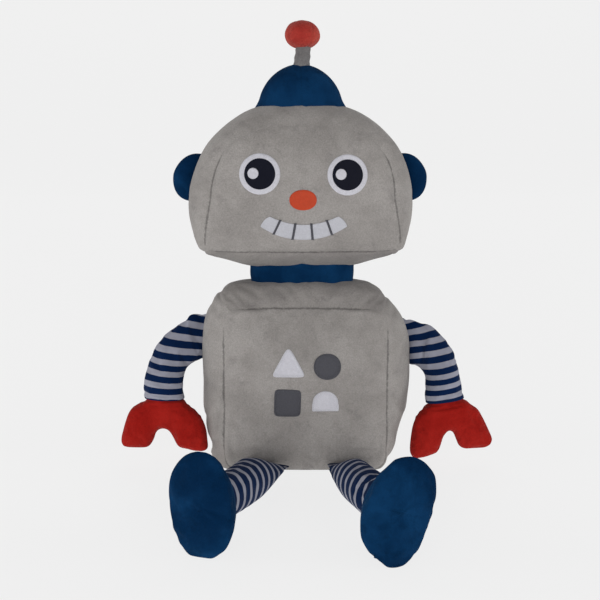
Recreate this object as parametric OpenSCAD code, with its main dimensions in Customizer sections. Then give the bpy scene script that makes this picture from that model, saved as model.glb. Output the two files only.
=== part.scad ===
// Seated, stuffed toy robot. The floor is z = 0 and the toy faces -Y.
// The torso and head lean back together. Their shapes are worked out in an upright
// frame, [side, depth, height], which lean_pt() then tips back about the X axis.
// Left and right are the toy's own: its left side is +X.

/* [Pose] */
// Backward lean of the torso and head, in degrees
lean = 8; // [6:0.5:9]
// Turn of the head to its left, in degrees
head_yaw = 3; // [0:0.5:5]

/* [Torso] */
// Half width between the corner seams of the chest
torso_half_w = 67.5; // [64:0.5:70]
// Height of the top corner seam above the floor
torso_top = 132; // [130:0.5:133]
// Half depth between the front and back seams
torso_half_d = 42; // [41:0.5:44]
// How far the side and top panels swell
torso_swell = 21; // [18:0.5:22]
// How far the chest and back panels swell
chest_swell = 13; // [8:0.5:14]

/* [Head] */
// Half width at the face seam
head_half_w = 76; // [72:0.5:78]
// Height of the face seam above the head's centre
head_rise = 58.5; // [56:0.5:60]
// Depth of the face seam below the head's centre
head_drop = 41; // [40:0.5:41.5]
// Half depth between the face seam and the back seam
head_half_d = 40; // [38:0.5:42]
// How far the gusset swells
head_swell = 18.5; // [16:0.5:19]
// How far the face and back panels swell
face_swell = 11; // [8:0.5:12]

/* [Cap and antenna] */
// Height of the cap's top
dome_top = 333; // [331:0.5:334]
// Half width of the antenna ball
ball_r = 14.8; // [12:0.2:15]

/* [Cloth] */
// Thickness of the plush panels
plush = 2; // [1.6:0.1:2.2]
// Thickness of the striped jersey
jersey = 1.2; // [1:0.1:1.3]
// Thickness of the embroidery and patches
stitch = 0.4; // [0.3:0.05:0.6]

/* [Hidden] */

grey = "#918e89";
navy = "#0f2f55";
red = "#b0302a";
white = "#dcdae2";
charcoal = "#4e4d52";

base_t = 2.2;                 // flat seat panel
gap = 0.4;                    // between a shell and its filling
torso_centre = [0, 67];       // side and height of the torso's centre
head_centre = [-4.2, 222];
neck_x = -4.1;
neck_low = 151.2;
neck_high = 162.8;
neck_half = [43.5, 26];
dome_x = -4.6;
ball_centre = [-2.6, 0, 357];
stem_pivot = [-3.2, 0, dome_top + 7.1];

// ---- Helpers ----

function lean_pt(p) = [p[0], p[1]*cos(lean) + p[2]*sin(lean), -p[1]*sin(lean) + p[2]*cos(lean)];
function lean_all(grid) = [for (row = grid) [for (p = row) lean_pt(p)]];
function steps(a, b, n) = [for (i = [0:n]) a + (b - a)*i/n];
function backwards(list) = [for (i = [len(list)-1:-1:0]) list[i]];
function mix(a, b, f) = a*(1 - f) + b*f;
function unit(v) = v/norm(v);
function flip_tri(f) = [f[0], f[2], f[1]];
function signed_pow(x, p) = sign(x)*pow(abs(x), p);
function super_r(t, a, b, n) = pow(pow(abs(cos(t))/a, n) + pow(abs(sin(t))/b, n), -1/n);

// Triangles between two rows of a grid of points, n to a row
function strip(row, n, wrap, start=0) =
    [for (j = [0:n - (wrap ? 1 : 2)])
        let (a = start + row*n, k = (j + 1) % n)
        each [[a + j, a + k, a + n + k], [a + j, a + n + k, a + n + j]]];

// Closed solid through rings of points, with a pole point at each end
module loft(rings, first, last, flip=false) {
    m = len(rings);
    n = len(rings[0]);
    end = m*n;
    faces = concat(
        [for (j = [0:n-1]) [end, (j + 1) % n, j]],
        [for (i = [0:m-2]) each strip(i, n, true)],
        [for (j = [0:n-1]) [end + 1, (m-1)*n + j, (m-1)*n + (j + 1) % n]]);
    polyhedron([for (r = rings) each r, first, last],
        flip ? [for (f = faces) flip_tri(f)] : faces);
}

// Closed tube wall through rings of points, the last ring joined to the first
module tube_wall(rings, flip=false) {
    m = len(rings);
    n = len(rings[0]);
    faces = [for (i = [0:m-1]) for (j = [0:n-1])
        let (a = i*n, b = ((i + 1) % m)*n, k = (j + 1) % n)
        each [[a + j, a + k, b + k], [a + j, b + k, b + j]]];
    polyhedron([for (r = rings) each r], flip ? [for (f = faces) flip_tri(f)] : faces);
}

// Four-sided cloth panel between an outer and an inner grid of points
module panel(outer, inner, flip=false) {
    m = len(outer);
    n = len(outer[0]);
    s = m*n;
    faces = concat(
        [for (i = [0:m-2]) each strip(i, n, false)],
        [for (i = [0:m-2]) for (f = strip(i, n, false, s)) flip_tri(f)],
        [for (j = [0:n-2]) each [[j, s + j, s + j + 1], [j, s + j + 1, j + 1]]],
        [for (j = [0:n-2]) let (a = (m-1)*n + j)
            each [[a, a + 1, s + a + 1], [a, s + a + 1, s + a]]],
        [for (i = [0:m-2]) let (a = i*n, b = a + n)
            each [[a, b, s + b], [a, s + b, s + a]]],
        [for (i = [0:m-2]) let (a = i*n + n - 1, b = a + n)
            each [[a, s + b, b], [a, s + a, s + b]]]);
    polyhedron([for (r = outer) each r, for (r = inner) each r],
        flip ? [for (f = faces) flip_tri(f)] : faces);
}

// ---- Torso: a boxy pillow of six panels, cut off flat by the floor ----

function torso_depth_r(s) = pow(max(0, 1 - pow(abs(s), 2.5)), 0.8);
function torso_floor(v) = (base_t + v*sin(lean))/cos(lean);
function torso_rim(t, v) = super_r(t, torso_half_w,
    sin(t) > 0 ? torso_top - torso_centre[1] : torso_centre[1] - torso_floor(v), 7);
// The swell is a little less under the neck and below the waist
function torso_swell_at(t) = torso_swell*(sin(t) > -0.3
    ? 1 - 0.13*pow(max(0, sin(t)), 8)
    : max(0, 1 - 0.9*(-0.3 - sin(t))));
function above_floor(p, low) = [p[0], p[1], max(low, p[2])];

// Point on the torso's sides at angle t and depth s, from -1 at the front to 1 at the back
function torso_pt(t, s, inset=0) =
    let (v = s*(torso_half_d - inset),
         r = torso_rim(t, s*torso_half_d) + torso_swell_at(t)*torso_depth_r(s) - inset)
    above_floor(lean_pt([torso_centre[0] + r*cos(t), v, torso_centre[1] + r*sin(t)]),
        base_t + 0.1 + inset);

// Height of the chest's swell at side u and height w, and a point on the end panels
function chest_f(r) = pow(max(0, 1 - pow(r, 2.4)), 0.85);
function chest_v(u, w) =
    let (d = [u - torso_centre[0], w - torso_centre[1]],
         r = norm(d)/torso_rim(atan2(d[1], d[0]), -torso_half_d))
    -(torso_half_d + chest_swell*chest_f(r));
function torso_end_pt(t, r, side, inset=0) =
    let (v = side*(torso_half_d + chest_swell*chest_f(r) - inset),
         q = r*(torso_rim(t, side*torso_half_d) - inset))
    above_floor(lean_pt([torso_centre[0] + q*cos(t), v, torso_centre[1] + q*sin(t)]),
        base_t + 0.1 + inset);
function torso_mid(side, inset) =
    lean_pt([torso_centre[0], side*(torso_half_d + chest_swell - inset), torso_centre[1]]);

round_t = [for (i = [0:39]) i*9];
end_r = [0.3, 0.55, 0.75, 0.9, 1];

module torso_end(side) {
    outer = [for (r = end_r) [for (t = round_t) torso_end_pt(t, r, side)]];
    inner = [for (r = end_r) [for (t = round_t) torso_end_pt(t, r, side, plush)]];
    loft(concat(outer, backwards(inner)), torso_mid(side, 0), torso_mid(side, plush),
        flip = side > 0);
}

module torso_side(from, to, count) {
    s_list = [for (s = steps(-1, 1, 8)) signed_pow(s, 0.8)];
    t_list = steps(from, to, count);
    panel([for (s = s_list) [for (t = t_list) torso_pt(t, s)]],
        [for (s = s_list) [for (t = t_list) torso_pt(t, s, plush)]]);
}

module torso_base_panel() {
    color(grey) linear_extrude(base_t)
        polygon([for (i = [0:47])
            let (a = i*7.5, r = super_r(a, torso_half_w - 3, torso_half_d, 4)) [r*cos(a), r*sin(a)]]);
}
module chest_panel() { color(grey) torso_end(-1); }
module torso_back_panel() { color(grey) torso_end(1); }
module torso_left_panel() { color(grey) torso_side(-54, 45, 11); }
module torso_right_panel() { color(grey) torso_side(135, 234, 11); }
module torso_top_panel() { color(grey) torso_side(45, 135, 10); }

module torso_filling() {
    d = plush + gap + 1;
    front = [for (r = end_r) [for (t = round_t) torso_end_pt(t, r, -1, d)]];
    middle = [for (s = [-0.8, -0.4, 0, 0.4, 0.8]) [for (t = round_t) torso_pt(t, s, d)]];
    rear = [for (r = backwards(end_r)) [for (t = round_t) torso_end_pt(t, r, 1, d)]];
    color("white") loft(concat(front, middle, rear), torso_mid(-1, d), torso_mid(1, d));
}

// ---- Flat patches and embroidery, laid on a swollen panel ----

// Radius of a rounded shape made of straight edges, each [direction, distance], and a circle
function badge_r(t, edges, circle, p) =
    pow(pow(1/circle, p) + sum([for (e = edges) pow(max(0, cos(t - e[0]))/e[1], p)]), -1/p);
function sum(v) = len(v) == 0 ? 0 : v*[for (x = v) 1];

// A patch whose outline radius is given for each angle, lifted off the chest or the face
module patch(centre, radii, lift, on_face=false) {
    n = len(radii);
    ring = function (k, up) [for (i = [0:n-1])
        let (u = centre[0] + k*radii[i]*cos(360*i/n), w = centre[1] + k*radii[i]*sin(360*i/n))
        surface_pt(u, w, up, on_face)];
    ks = [0.55, 1];
    loft(concat([for (k = ks) ring(k, lift + stitch)], [for (k = backwards(ks)) ring(k, lift)]),
        surface_pt(centre[0], centre[1], lift + stitch, on_face),
        surface_pt(centre[0], centre[1], lift, on_face));
}
function surface_pt(u, w, up, on_face) = on_face
    ? face_pt(u, w, up)
    : lean_pt([u, chest_v(u, w) - up, w]);
function badge(edges, circle, p, n) = [for (i = [0:n-1]) badge_r(360*i/n, edges, circle, p)];

module patch_triangle() {
    color(white) patch([-13.9, 84.8], badge([[-90, 8.4], [27, 8.2], [153, 8.2]], 15, 9, 42), 0.3);
}
module patch_circle() {
    color(charcoal) patch([17.7, 85.4], badge([], 10.4, 2, 32), 0.3);
}
module patch_square() {
    color(charcoal) patch([-14.8, 54.5],
        badge([[0, 10.3], [90, 10.8], [180, 10.3], [270, 10.8]], 60, 10, 40), 0.3);
}
module patch_half_round() {
    color(white) patch([16.2, 54.5], badge([[-90, 5.8]], 10.6, 12, 40), 0.3);
}

// ---- Neck: a round-cornered band, clear of the torso and head as they turn ----

function neck_pt(t, up, inset=0) =
    let (r = super_r(t, neck_half[0] - inset, neck_half[1] - inset, 3),
         v = r*sin(t)/neck_half[1],
         low = neck_low - 2.4*pow(abs(v), 2.5),
         high = neck_high)
    [neck_x + r*cos(t)*(1 + 0.03*up), r*sin(t)*(1 + 0.03*up), mix(low, high, up)];
neck_t = [for (i = [0:29]) i*12];

module neck_band() {
    outer = [for (f = [0, 0.5, 1]) [for (t = neck_t) neck_pt(t, f)]];
    inner = [for (f = [1, 0.5, 0]) [for (t = neck_t) neck_pt(t, f, plush)]];
    color(navy) tube_wall(lean_all(concat(outer, inner)), flip = true);
}
module neck_filling() {
    rings = [for (f = [0.05, 0.5, 0.95]) [for (t = neck_t) neck_pt(t, f, plush + gap)]];
    color("white") loft(lean_all(rings), lean_pt([neck_x, 0, neck_low + 0.7]),
        lean_pt([neck_x, 0, neck_high - 0.7]), flip = true);
}

// ---- Head: a D-shaped pillow of face, gusset, base and back panels ----

function head_depth_r(s) = pow(max(0, 1 - pow(abs(s), 2.5)), 0.8);
function head_rim(t) = let (low = max(0, -sin(t)))
    super_r(t, head_half_w*(1 + 0.09*low), sin(t) > 0 ? head_rise : head_drop,
        sin(t) > 0 ? 2.5 : 9);
// The gusset swells least along the lower corner seams
corner_t = -29;
function head_swell_at(t) =
    let (a = asin(sin(t)), d = abs(a - corner_t))
    mix(10, a < corner_t ? head_swell - 4 : head_swell + max(0, a/60),
        1 - exp(-pow(d/(a < corner_t ? 10 : 14), 2)));
function yaw_pt(p) =
    let (u = p[0] - head_centre[0])
    [head_centre[0] + u*cos(head_yaw) - p[1]*sin(head_yaw), u*sin(head_yaw) + p[1]*cos(head_yaw),
     p[2]];
function head_pt(t, s, inset=0, up=0) =
    let (r = head_rim(t) + head_swell_at(t)*head_depth_r(s) - inset + up)
    lean_pt(yaw_pt([head_centre[0] + r*cos(t), s*(head_half_d - inset), head_centre[1] + r*sin(t)]));
function face_v(u, w) =
    let (d = [u - head_centre[0], w - head_centre[1]],
         t = atan2(d[1], d[0]), r = norm(d)/head_rim(t))
    -(head_half_d + face_swell*chest_f(r));
function face_pt(u, w, up) = lean_pt(yaw_pt([u - 2.2, face_v(u - 2.2, w) - up, w]));
function head_end_pt(t, r, side, inset=0) =
    let (v = side*(head_half_d + face_swell*chest_f(r) - inset), q = r*(head_rim(t) - inset))
    lean_pt(yaw_pt([head_centre[0] + q*cos(t), v, head_centre[1] + q*sin(t)]));
function head_mid(side, inset) =
    lean_pt(yaw_pt([head_centre[0], side*(head_half_d + face_swell - inset), head_centre[1]]));

// The rim's angles: 25 steps over the gusset, then 11 along the base
head_t = [for (i = [0:35]) corner_t + (i < 25 ? i*(180 - 2*corner_t)/25
    : 180 - 2*corner_t + (i - 25)*(180 + 2*corner_t)/11)];

module head_end(side) {
    outer = [for (r = end_r) [for (t = head_t) head_end_pt(t, r, side)]];
    inner = [for (r = end_r) [for (t = head_t) head_end_pt(t, r, side, plush)]];
    loft(concat(outer, backwards(inner)), head_mid(side, 0), head_mid(side, plush),
        flip = side > 0);
}
module head_side(from, count) {
    s_list = [for (s = steps(-1, 1, 8)) signed_pow(s, 0.8)];
    t_list = [for (i = [from:from + count]) head_t[i % 36] + (i > 35 ? 360 : 0)];
    panel([for (s = s_list) [for (t = t_list) head_pt(t, s)]],
        [for (s = s_list) [for (t = t_list) head_pt(t, s, plush)]]);
}
module face_panel() { color(grey) head_end(-1); }
module head_back_panel() { color(grey) head_end(1); }
module head_gusset() { color(grey) head_side(0, 25); }
module head_base_panel() { color(grey) head_side(25, 11); }
module head_filling() {
    d = plush + gap;
    front = [for (r = end_r) [for (t = head_t) head_end_pt(t, r, -1, d)]];
    middle = [for (s = [-0.8, -0.4, 0, 0.4, 0.8]) [for (t = head_t) head_pt(t, s, d)]];
    rear = [for (r = backwards(end_r)) [for (t = head_t) head_end_pt(t, r, 1, d)]];
    color("white") loft(concat(front, middle, rear), head_mid(-1, d), head_mid(1, d));
}

// ---- Face: everything is thin embroidery over the face panel ----

eye_at = [[-36.6, 241.5], [33.4, 240.3]];
module eye(i) { color(white) patch(eye_at[i], badge([], 15.8, 2, 32), 0.3, true); }
module pupil(i) { color("#14192d") patch(eye_at[i], badge([], 12.4, 2, 32), 0.8, true); }
module glint(i) {
    color("white") patch(eye_at[i] + [-5.4, 0.4], badge([], 4.4, 2, 20), 1.3, true);
}
module eye_right() { eye(0); }
module eye_left() { eye(1); }
module pupil_right() { pupil(0); }
module pupil_left() { pupil(1); }
module glint_right() { glint(0); }
module glint_left() { glint(1); }
module nose() {
    color("#c8502a") patch([-2.3, 220.4], [for (i = [0:31]) super_r(i*360/32, 10.6, 8.1, 2)], 0.3, true);
}

smile_x = -1.7;
smile_half = 33.6;
function smile_low(u) = 188.2 + 12.6*pow(abs(u)/smile_half, 2.2);
function smile_high(u) = abs(u) < 26.5 ? 200.6 + 6.6*pow(u/26.5, 2)
    : mix(207.2, 201.6, (abs(u) - 26.5)/(smile_half - 26.5));
module smile() {
    us = steps(-smile_half, smile_half, 24);
    fs = steps(0, 1, 3);
    grid = function (up) [for (u = us) [for (f = fs)
        surface_pt(smile_x + u, mix(smile_low(u), smile_high(u), f), up, true)]];
    color(white) panel(grid(0.3 + stitch), grid(0.3));
}
tooth_top = [-19, -6.9, 5.8, 18.3];
tooth_low = [-24.6, -9.1, 7.3, 23];
module tooth_stitches() {
    color(charcoal) for (i = [0:3]) {
        grid = function (up) [for (side = [-0.5, 0.5]) [for (f = steps(0, 1, 4))
            surface_pt(smile_x + mix(tooth_low[i], tooth_top[i], f) + side,
                mix(smile_low(tooth_low[i]) + 0.4, smile_high(tooth_top[i]) - 0.4, f), up, true)]];
        panel(grid(0.8 + stitch), grid(0.8));
    }
}

// ---- Ears: half-round cushions standing out of the gusset ----

// mirror is 1 for the left ear and -1 for the right; x runs from the root to the tip
function ear_pt(mirror, x, a, inset=0) =
    let (t = mirror > 0 ? 10.5 : 169,
         far = 15.5 - inset,
         size = pow(max(0, 1 - pow(x, 2.6)), 1/2.2),
         root = head_pt(t + mirror*(13.2 - inset/1.6)*cos(a), 0.08 + (0.19 - inset/44)*sin(a), 0, 0.6),
         mid = head_pt(t, 0.08, 0, 0.6),
         out = unit(head_pt(t, 0.08, 0, 1.6) - mid))
    mid + (root - mid)*size + out*(far*x);
module ear_cover(mirror) {
    xs = [0, 0.3, 0.55, 0.75, 0.9, 0.98];
    angles = [for (i = [0:19]) i*18];
    outer = [for (x = backwards(xs)) [for (a = angles) ear_pt(mirror, x, a)]];
    inner = [for (x = xs) [for (a = angles) ear_pt(mirror, x, a, 1.6)]];
    color(navy) loft(concat(outer, inner), ear_pt(mirror, 1, 0), ear_pt(mirror, 1, 0, 1.6),
        flip = mirror > 0);
}
module ear_filling(mirror) {
    angles = [for (i = [0:19]) i*18];
    rings = [for (x = [0.95, 0.8, 0.5, 0.2]) [for (a = angles) ear_pt(mirror, x, a, 2.2)]];
    color("white") loft(rings, ear_pt(mirror, 1, 0, 2.2), mix(ear_pt(mirror, 0.2, 0, 2.2),
        ear_pt(mirror, 0.2, 180, 2.2), 0.5), flip = mirror > 0);
}
module ear_left_cover() { ear_cover(1); }
module ear_right_cover() { ear_cover(-1); }
module ear_left_filling() { ear_filling(1); }
module ear_right_filling() { ear_filling(-1); }

// ---- Cap: a dome of two panels over the top of the head ----

dome_mid = lean_pt([dome_x, 0, dome_top - 38]);
function dome_pt(x, a, inset=0) =
    let (root = head_pt(90 + 29*cos(a), 0.66*sin(a), 0, 0.6 + inset/8),
         top = lean_pt([dome_x, 0, dome_top - inset]),
         axis = lean_pt([0, 0, 1]),
         flat = root - dome_mid - axis*((root - dome_mid)*axis),
         low = (root - dome_mid)*axis,
         rise = (top - dome_mid)*axis,
         shrink = (1 - inset/norm(flat))*(1 - 0.07*min(1, x*8))*pow(cos(90*x), 0.95))
    dome_mid + flat*shrink + axis*mix(low, rise, sin(90*x));
dome_x_list = [0, 0.08, 0.22, 0.38, 0.54, 0.7, 0.85, 0.97];
module dome_panel(from) {
    angles = steps(from, from + 180, 13);
    panel([for (x = dome_x_list) [for (a = angles) dome_pt(x, a)]],
        [for (x = dome_x_list) [for (a = angles) dome_pt(x, a, plush)]]);
}
module dome_right_panel() { color(navy) dome_panel(-90); }
module dome_left_panel() { color(navy) dome_panel(90); }
module dome_filling() {
    angles = [for (i = [0:23]) i*15];
    rings = [for (x = [0.04, 0.2, 0.4, 0.6, 0.8, 0.94])
        [for (a = angles) dome_pt(x, a, plush + gap)]];
    color("white") loft(rings, head_pt(90, 0, 0, 2.4), dome_pt(1, 0, plush + gap));
}

// ---- Antenna: a stuffed stem with a ball, rocking on its round lower end ----

module on_stem() { rotate([-lean, 0, 0]) translate(stem_pivot) children(); }
module antenna_stem() {
    height = ball_centre[2] - 12 - stem_pivot[2];
    color(grey) on_stem() rotate_extrude($fn = 48)
        polygon([for (a = steps(-90, 0, 9)) [6.6*cos(a), 6.6*sin(a)], [6.2, height], [0, height]]);
}
function ball_arc(from, to, inset) = [for (a = steps(from, to, 14))
    [(ball_r - inset)*cos(a), (ball_r*0.81 - inset)*sin(a)]];
module at_ball() { rotate([-lean, 0, 0]) translate(ball_centre) children(); }
module antenna_ball_cover() {
    color(red) at_ball() rotate_extrude($fn = 48)
        polygon([for (p = concat(ball_arc(-72, 90, 0), backwards(ball_arc(-70, 90, 1.8))))
            [max(0, p[0]), p[1]]]);
}
module antenna_ball_filling() {
    color("white") at_ball() rotate_extrude($fn = 48)
        polygon([for (p = ball_arc(-90, 90, 2.2)) [max(0, p[0]), p[1]]]);
}

// ---- Arms: a striped tube closed flat in the torso's side, with a two-finger hand ----

// Per arm: shoulder, bend and cuff points of the middle line, and the hand's tilt
arm_line = [
    [[90.2, 0, 98.5], [111, 0, 101.5], [118.6, -24, 51]],
    [[-90.2, 0, 100.5], [-117, 0, 105.5], [-121.2, -24, 52.3]]
];
hand_tilt = [11, 0];
cuff_half = [16, 12.5];
function bezier(p, t) = p[0]*(1-t)*(1-t) + p[1]*2*t*(1-t) + p[2]*t*t;
function arm_dir(i, t) =
    let (p = arm_line[i], d = (p[1] - p[0])*(1-t) + (p[2] - p[1])*t) unit([d[0], 0, d[2]]);
// The cross direction of a section turns from upright at the shoulder to level at the cuff
function arm_across(i, t) =
    let (d = arm_dir(i, t), side = i == 0 ? 1 : -1,
         end = [side*cos(hand_tilt[i]*side), 0, side*sin(hand_tilt[i]*side)],
         own = [-d[2]*side, 0, d[0]*side],
         start = [0.04*-side, 0, 1])
    unit(t < 0.25 ? mix(start, own, t/0.25) : mix(own, end, max(0, (t - 0.7)/0.3)));
function arm_half(t) = [mix(18.5, cuff_half[0], min(1, t*1.6)),
    1.4 + (cuff_half[1] + 1 - 1.4)*pow(sin(90*min(1, t*2.4)), 1.4) - max(0, t - 0.7)*3.3];
function arm_ring(i, t, inset, n) =
    let (c = bezier(arm_line[i], t), a = arm_across(i, t), h = arm_half(t) - [inset, inset])
    [for (j = [0:n-1]) lean_pt(c + a*h[0]*cos(360*j/n) + [0, h[1]*sin(360*j/n), 0])];
function arm_mid(i, t) = lean_pt(bezier(arm_line[i], t));

module arm_sleeve(i) {
    outer = [for (t = steps(0, 1, 10)) arm_ring(i, t, 0, 18)];
    inner = [for (t = steps(1, 0, 10)) arm_ring(i, t, jersey, 18)];
    color(navy) tube_wall(concat(outer, inner), flip = i == 1);
}
module arm_filling(i) {
    d = jersey + 0.7;
    rings = [for (t = steps(0.05, 0.97, 9)) arm_ring(i, t, d, 16)];
    color("white") loft(rings, arm_mid(i, 0.05), arm_mid(i, 0.97), flip = i == 1);
}

// Point in a hand's own plane: across, and up from the cuff
function hand_plane(i, p, q, v) =
    let (c = arm_line[i][2], a = hand_tilt[i])
    above_floor(lean_pt([c[0] + p*cos(a) - q*sin(a), c[1] + v, c[2] + p*sin(a) + q*cos(a)]), 0.4);
hand_reach = 44.8;
finger_x = 22.4;
palm_q = -12.9;
// The middle line runs up one finger, over the palm and down the other
function hand_line(t) = let (a = 180*(1 - t))
    [finger_x*signed_pow(cos(a), 0.75), -hand_reach + (hand_reach + palm_q)*pow(max(0, sin(a)), 0.75)];
function hand_size(t) = let (e = pow(max(0, 1 - pow(abs(2*t - 1), 16)), 0.5), top = pow(sin(180*t), 2))
    [mix(12.4, 12.4, top)*e, mix(10, 11, top)*e];
function hand_pt(i, t, a, inset=0) =
    let (c = hand_line(t), d = unit(hand_line(min(1, t + 0.01)) - hand_line(max(0, t - 0.01))),
         h = hand_size(t), k = [max(0.15, h[0] - inset), max(0.12, h[1] - inset)],
         p = c + [-d[1], d[0]]*k[0]*cos(a),
         end = t < 0.5 ? inset*(1 - t)*(1 - t) : inset*t*t)
    hand_plane(i, p[0], p[1] + (abs(2*t - 1) > 0.9 ? end : 0), k[1]*sin(a));
hand_t = [for (f = steps(-1, 1, 16)) 0.5 + 0.498*signed_pow(sin(90*f), 0.85)];
module hand_side(i, from) {
    angles = steps(from, from + 180, 6);
    panel([for (t = hand_t) [for (a = angles) hand_pt(i, t, a)]],
        [for (t = hand_t) [for (a = angles) hand_pt(i, t, a, 1.6)]]);
}
module hand_filling(i) {
    angles = [for (j = [0:11]) j*30];
    ts = [for (f = steps(-1, 1, 13)) 0.5 + 0.47*f];
    color("white") loft([for (t = ts) [for (a = angles) hand_pt(i, t, a, 2.6)]],
        hand_pt(i, 0.02, 90, 20), hand_pt(i, 0.98, 90, 20));
}
module arm_left_sleeve() { arm_sleeve(0); }
module arm_right_sleeve() { arm_sleeve(1); }
module arm_left_filling() { arm_filling(0); }
module arm_right_filling() { arm_filling(1); }
module hand_left_front() { color(red) hand_side(0, -180); }
module hand_right_front() { color(red) hand_side(1, -180); }
module hand_left_back() { color(red) hand_side(0, 0); }
module hand_right_back() { color(red) hand_side(1, 0); }
module hand_left_filling() { hand_filling(0); }
module hand_right_filling() { hand_filling(1); }

// ---- Legs: a striped tube closed flat under the chest, with a slipper foot ----

// Per leg: hip, bend and ankle points, sole centre, and the foot's roll and backward lean
leg_line = [
    [[35.5, -51, 9], [36, -98, 17.5], [49, -143, 26.5]],
    [[-31.5, -51, 9], [-41, -96, 18], [-57.5, -141, 26.5]]
];
sole_centre = [[65, -192, 37.4], [-73.5, -184, 37.8]];
foot_roll = [-24, 6];
foot_lean = [15, 8];
sole_half = [[21.8, 39.8], [22, 38.2]];
function leg_half(t) = [mix(17.5, 16.6, t), 1.5 + 15.1*pow(sin(90*min(1, t*1.7)), 1.2)];
function leg_frame(i, t) =
    let (p = leg_line[i], d = unit((p[1] - p[0])*(1-t) + (p[2] - p[1])*t),
         side = unit([-d[1], d[0], 0])) [side, cross(side, d)];
function leg_ring(i, t, inset, n) =
    let (c = bezier(leg_line[i], t), f = leg_frame(i, t), h = leg_half(t) - [inset, inset])
    [for (j = [0:n-1])
        above_floor(c + f[0]*h[0]*cos(360*j/n) + f[1]*h[1]*sin(360*j/n), 0.6 + inset)];
module leg_sleeve(i) {
    outer = [for (t = steps(0, 1, 10)) leg_ring(i, t, 0, 18)];
    inner = [for (t = steps(1, 0, 10)) leg_ring(i, t, jersey, 18)];
    color(navy) tube_wall(concat(outer, inner));
}
module leg_filling(i) {
    rings = [for (t = steps(0.1, 0.98, 9)) leg_ring(i, t, jersey + 0.4, 16)];
    color("white") loft(rings, bezier(leg_line[i], 0.1), bezier(leg_line[i], 0.98));
}

// Foot frame: across the sole, up the sole, and out of the sole
function foot_frame(i) =
    let (d = sole_centre[i] - leg_line[i][0], flat = unit([d[0], d[1], 0]),
         out = flat*cos(foot_lean[i]) + [0, 0, sin(foot_lean[i])],
         across = unit([-flat[1], flat[0], 0]), up = cross(out, across)*-1,
         a = foot_roll[i])
    [across*cos(a) - up*sin(a), up*cos(a) + across*sin(a), out];
// f runs from the ankle, 0, to the sole's seam, 1
function foot_pt(i, f, a, inset=0) =
    let (fr = foot_frame(i), grow = pow(f, 0.62), swell = 2.2*sin(180*pow(f, 0.8)),
         c = mix(leg_line[i][2] + fr[2]*1.6, sole_centre[i], f) - fr[2]*inset*f*f,
         h = [mix(17.2, sole_half[i][0], grow) + swell - inset,
              mix(17.2, sole_half[i][1], grow) + swell - inset])
    above_floor(c + fr[0]*h[0]*cos(a) + fr[1]*h[1]*sin(a), inset);
function sole_pt(i, k, a, inset=0) =
    let (fr = foot_frame(i), h = (sole_half[i] - [inset, inset])*k)
    above_floor(sole_centre[i] + fr[0]*h[0]*cos(a) + fr[1]*h[1]*sin(a)
        + fr[2]*(4*(1 - pow(k, 2.5)) - inset), inset);
foot_angles = [for (j = [0:23]) j*15];
foot_f = [0, 0.12, 0.28, 0.48, 0.7, 0.88, 1];
module foot_upper(i) {
    outer = [for (f = foot_f) [for (a = foot_angles) foot_pt(i, f, a)]];
    inner = [for (f = backwards(foot_f)) [for (a = foot_angles) foot_pt(i, f, a, plush)]];
    color(navy) tube_wall(concat(outer, inner));
}
module foot_sole(i) {
    ks = [0.35, 0.65, 0.87, 1];
    outer = [for (k = ks) [for (a = foot_angles) sole_pt(i, k, a)]];
    inner = [for (k = backwards(ks)) [for (a = foot_angles) sole_pt(i, k, a, plush)]];
    push = foot_frame(i)[2]*0.15;
    color(navy) loft([for (r = concat(outer, inner)) [for (p = r) p + push]],
        sole_pt(i, 0, 0) + push, sole_pt(i, 0, 0, plush) + push, flip = true);
}
module foot_filling(i) {
    d = plush + gap;
    body = [for (f = [0.08, 0.28, 0.5, 0.72, 0.9]) [for (a = foot_angles) foot_pt(i, f, a, d)]];
    front = [for (k = [0.93, 0.6]) [for (a = foot_angles) sole_pt(i, k, a, d + 1)]];
    color("white") loft(concat(body, front),
        mix(leg_line[i][2], sole_centre[i], 0.12), sole_pt(i, 0, 0, d + 1));
}
module leg_left_sleeve() { leg_sleeve(0); }
module leg_right_sleeve() { leg_sleeve(1); }
module leg_left_filling() { leg_filling(0); }
module leg_right_filling() { leg_filling(1); }
module foot_left_sole() { foot_sole(0); }
module foot_right_sole() { foot_sole(1); }
module foot_left_upper() { foot_upper(0); }
module foot_right_upper() { foot_upper(1); }
module foot_left_filling() { foot_filling(0); }
module foot_right_filling() { foot_filling(1); }

torso_base_panel();
chest_panel();
torso_back_panel();
torso_left_panel();
torso_right_panel();
torso_top_panel();
torso_filling();
patch_triangle();
patch_circle();
patch_square();
patch_half_round();
neck_band();
neck_filling();
face_panel();
head_gusset();
head_base_panel();
head_back_panel();
head_filling();
eye_left();
eye_right();
pupil_left();
pupil_right();
glint_left();
glint_right();
nose();
smile();
tooth_stitches();
ear_left_cover();
ear_right_cover();
ear_left_filling();
ear_right_filling();
dome_left_panel();
dome_right_panel();
dome_filling();
antenna_stem();
antenna_ball_cover();
antenna_ball_filling();
arm_left_sleeve();
arm_left_filling();
hand_left_front();
hand_left_back();
hand_left_filling();
arm_right_sleeve();
arm_right_filling();
hand_right_front();
hand_right_back();
hand_right_filling();
leg_left_sleeve();
leg_left_filling();
foot_left_sole();
foot_left_upper();
foot_left_filling();
leg_right_sleeve();
leg_right_filling();
foot_right_sole();
foot_right_upper();
foot_right_filling();
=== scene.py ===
"""A seated, stuffed toy robot: plush torso and head, striped jersey limbs, red claw hands.

Lengths are in millimetres until piece() makes a mesh. The torso, head and arms are worked out
in an upright frame, (side, depth, height), which lean() tips back about the X axis.
"""
import math

import bmesh
import bpy
import numpy as np
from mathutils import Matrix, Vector
from mathutils.bvhtree import BVHTree
from mathutils.geometry import delaunay_2d_cdt
from mathutils.kdtree import KDTree


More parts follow.
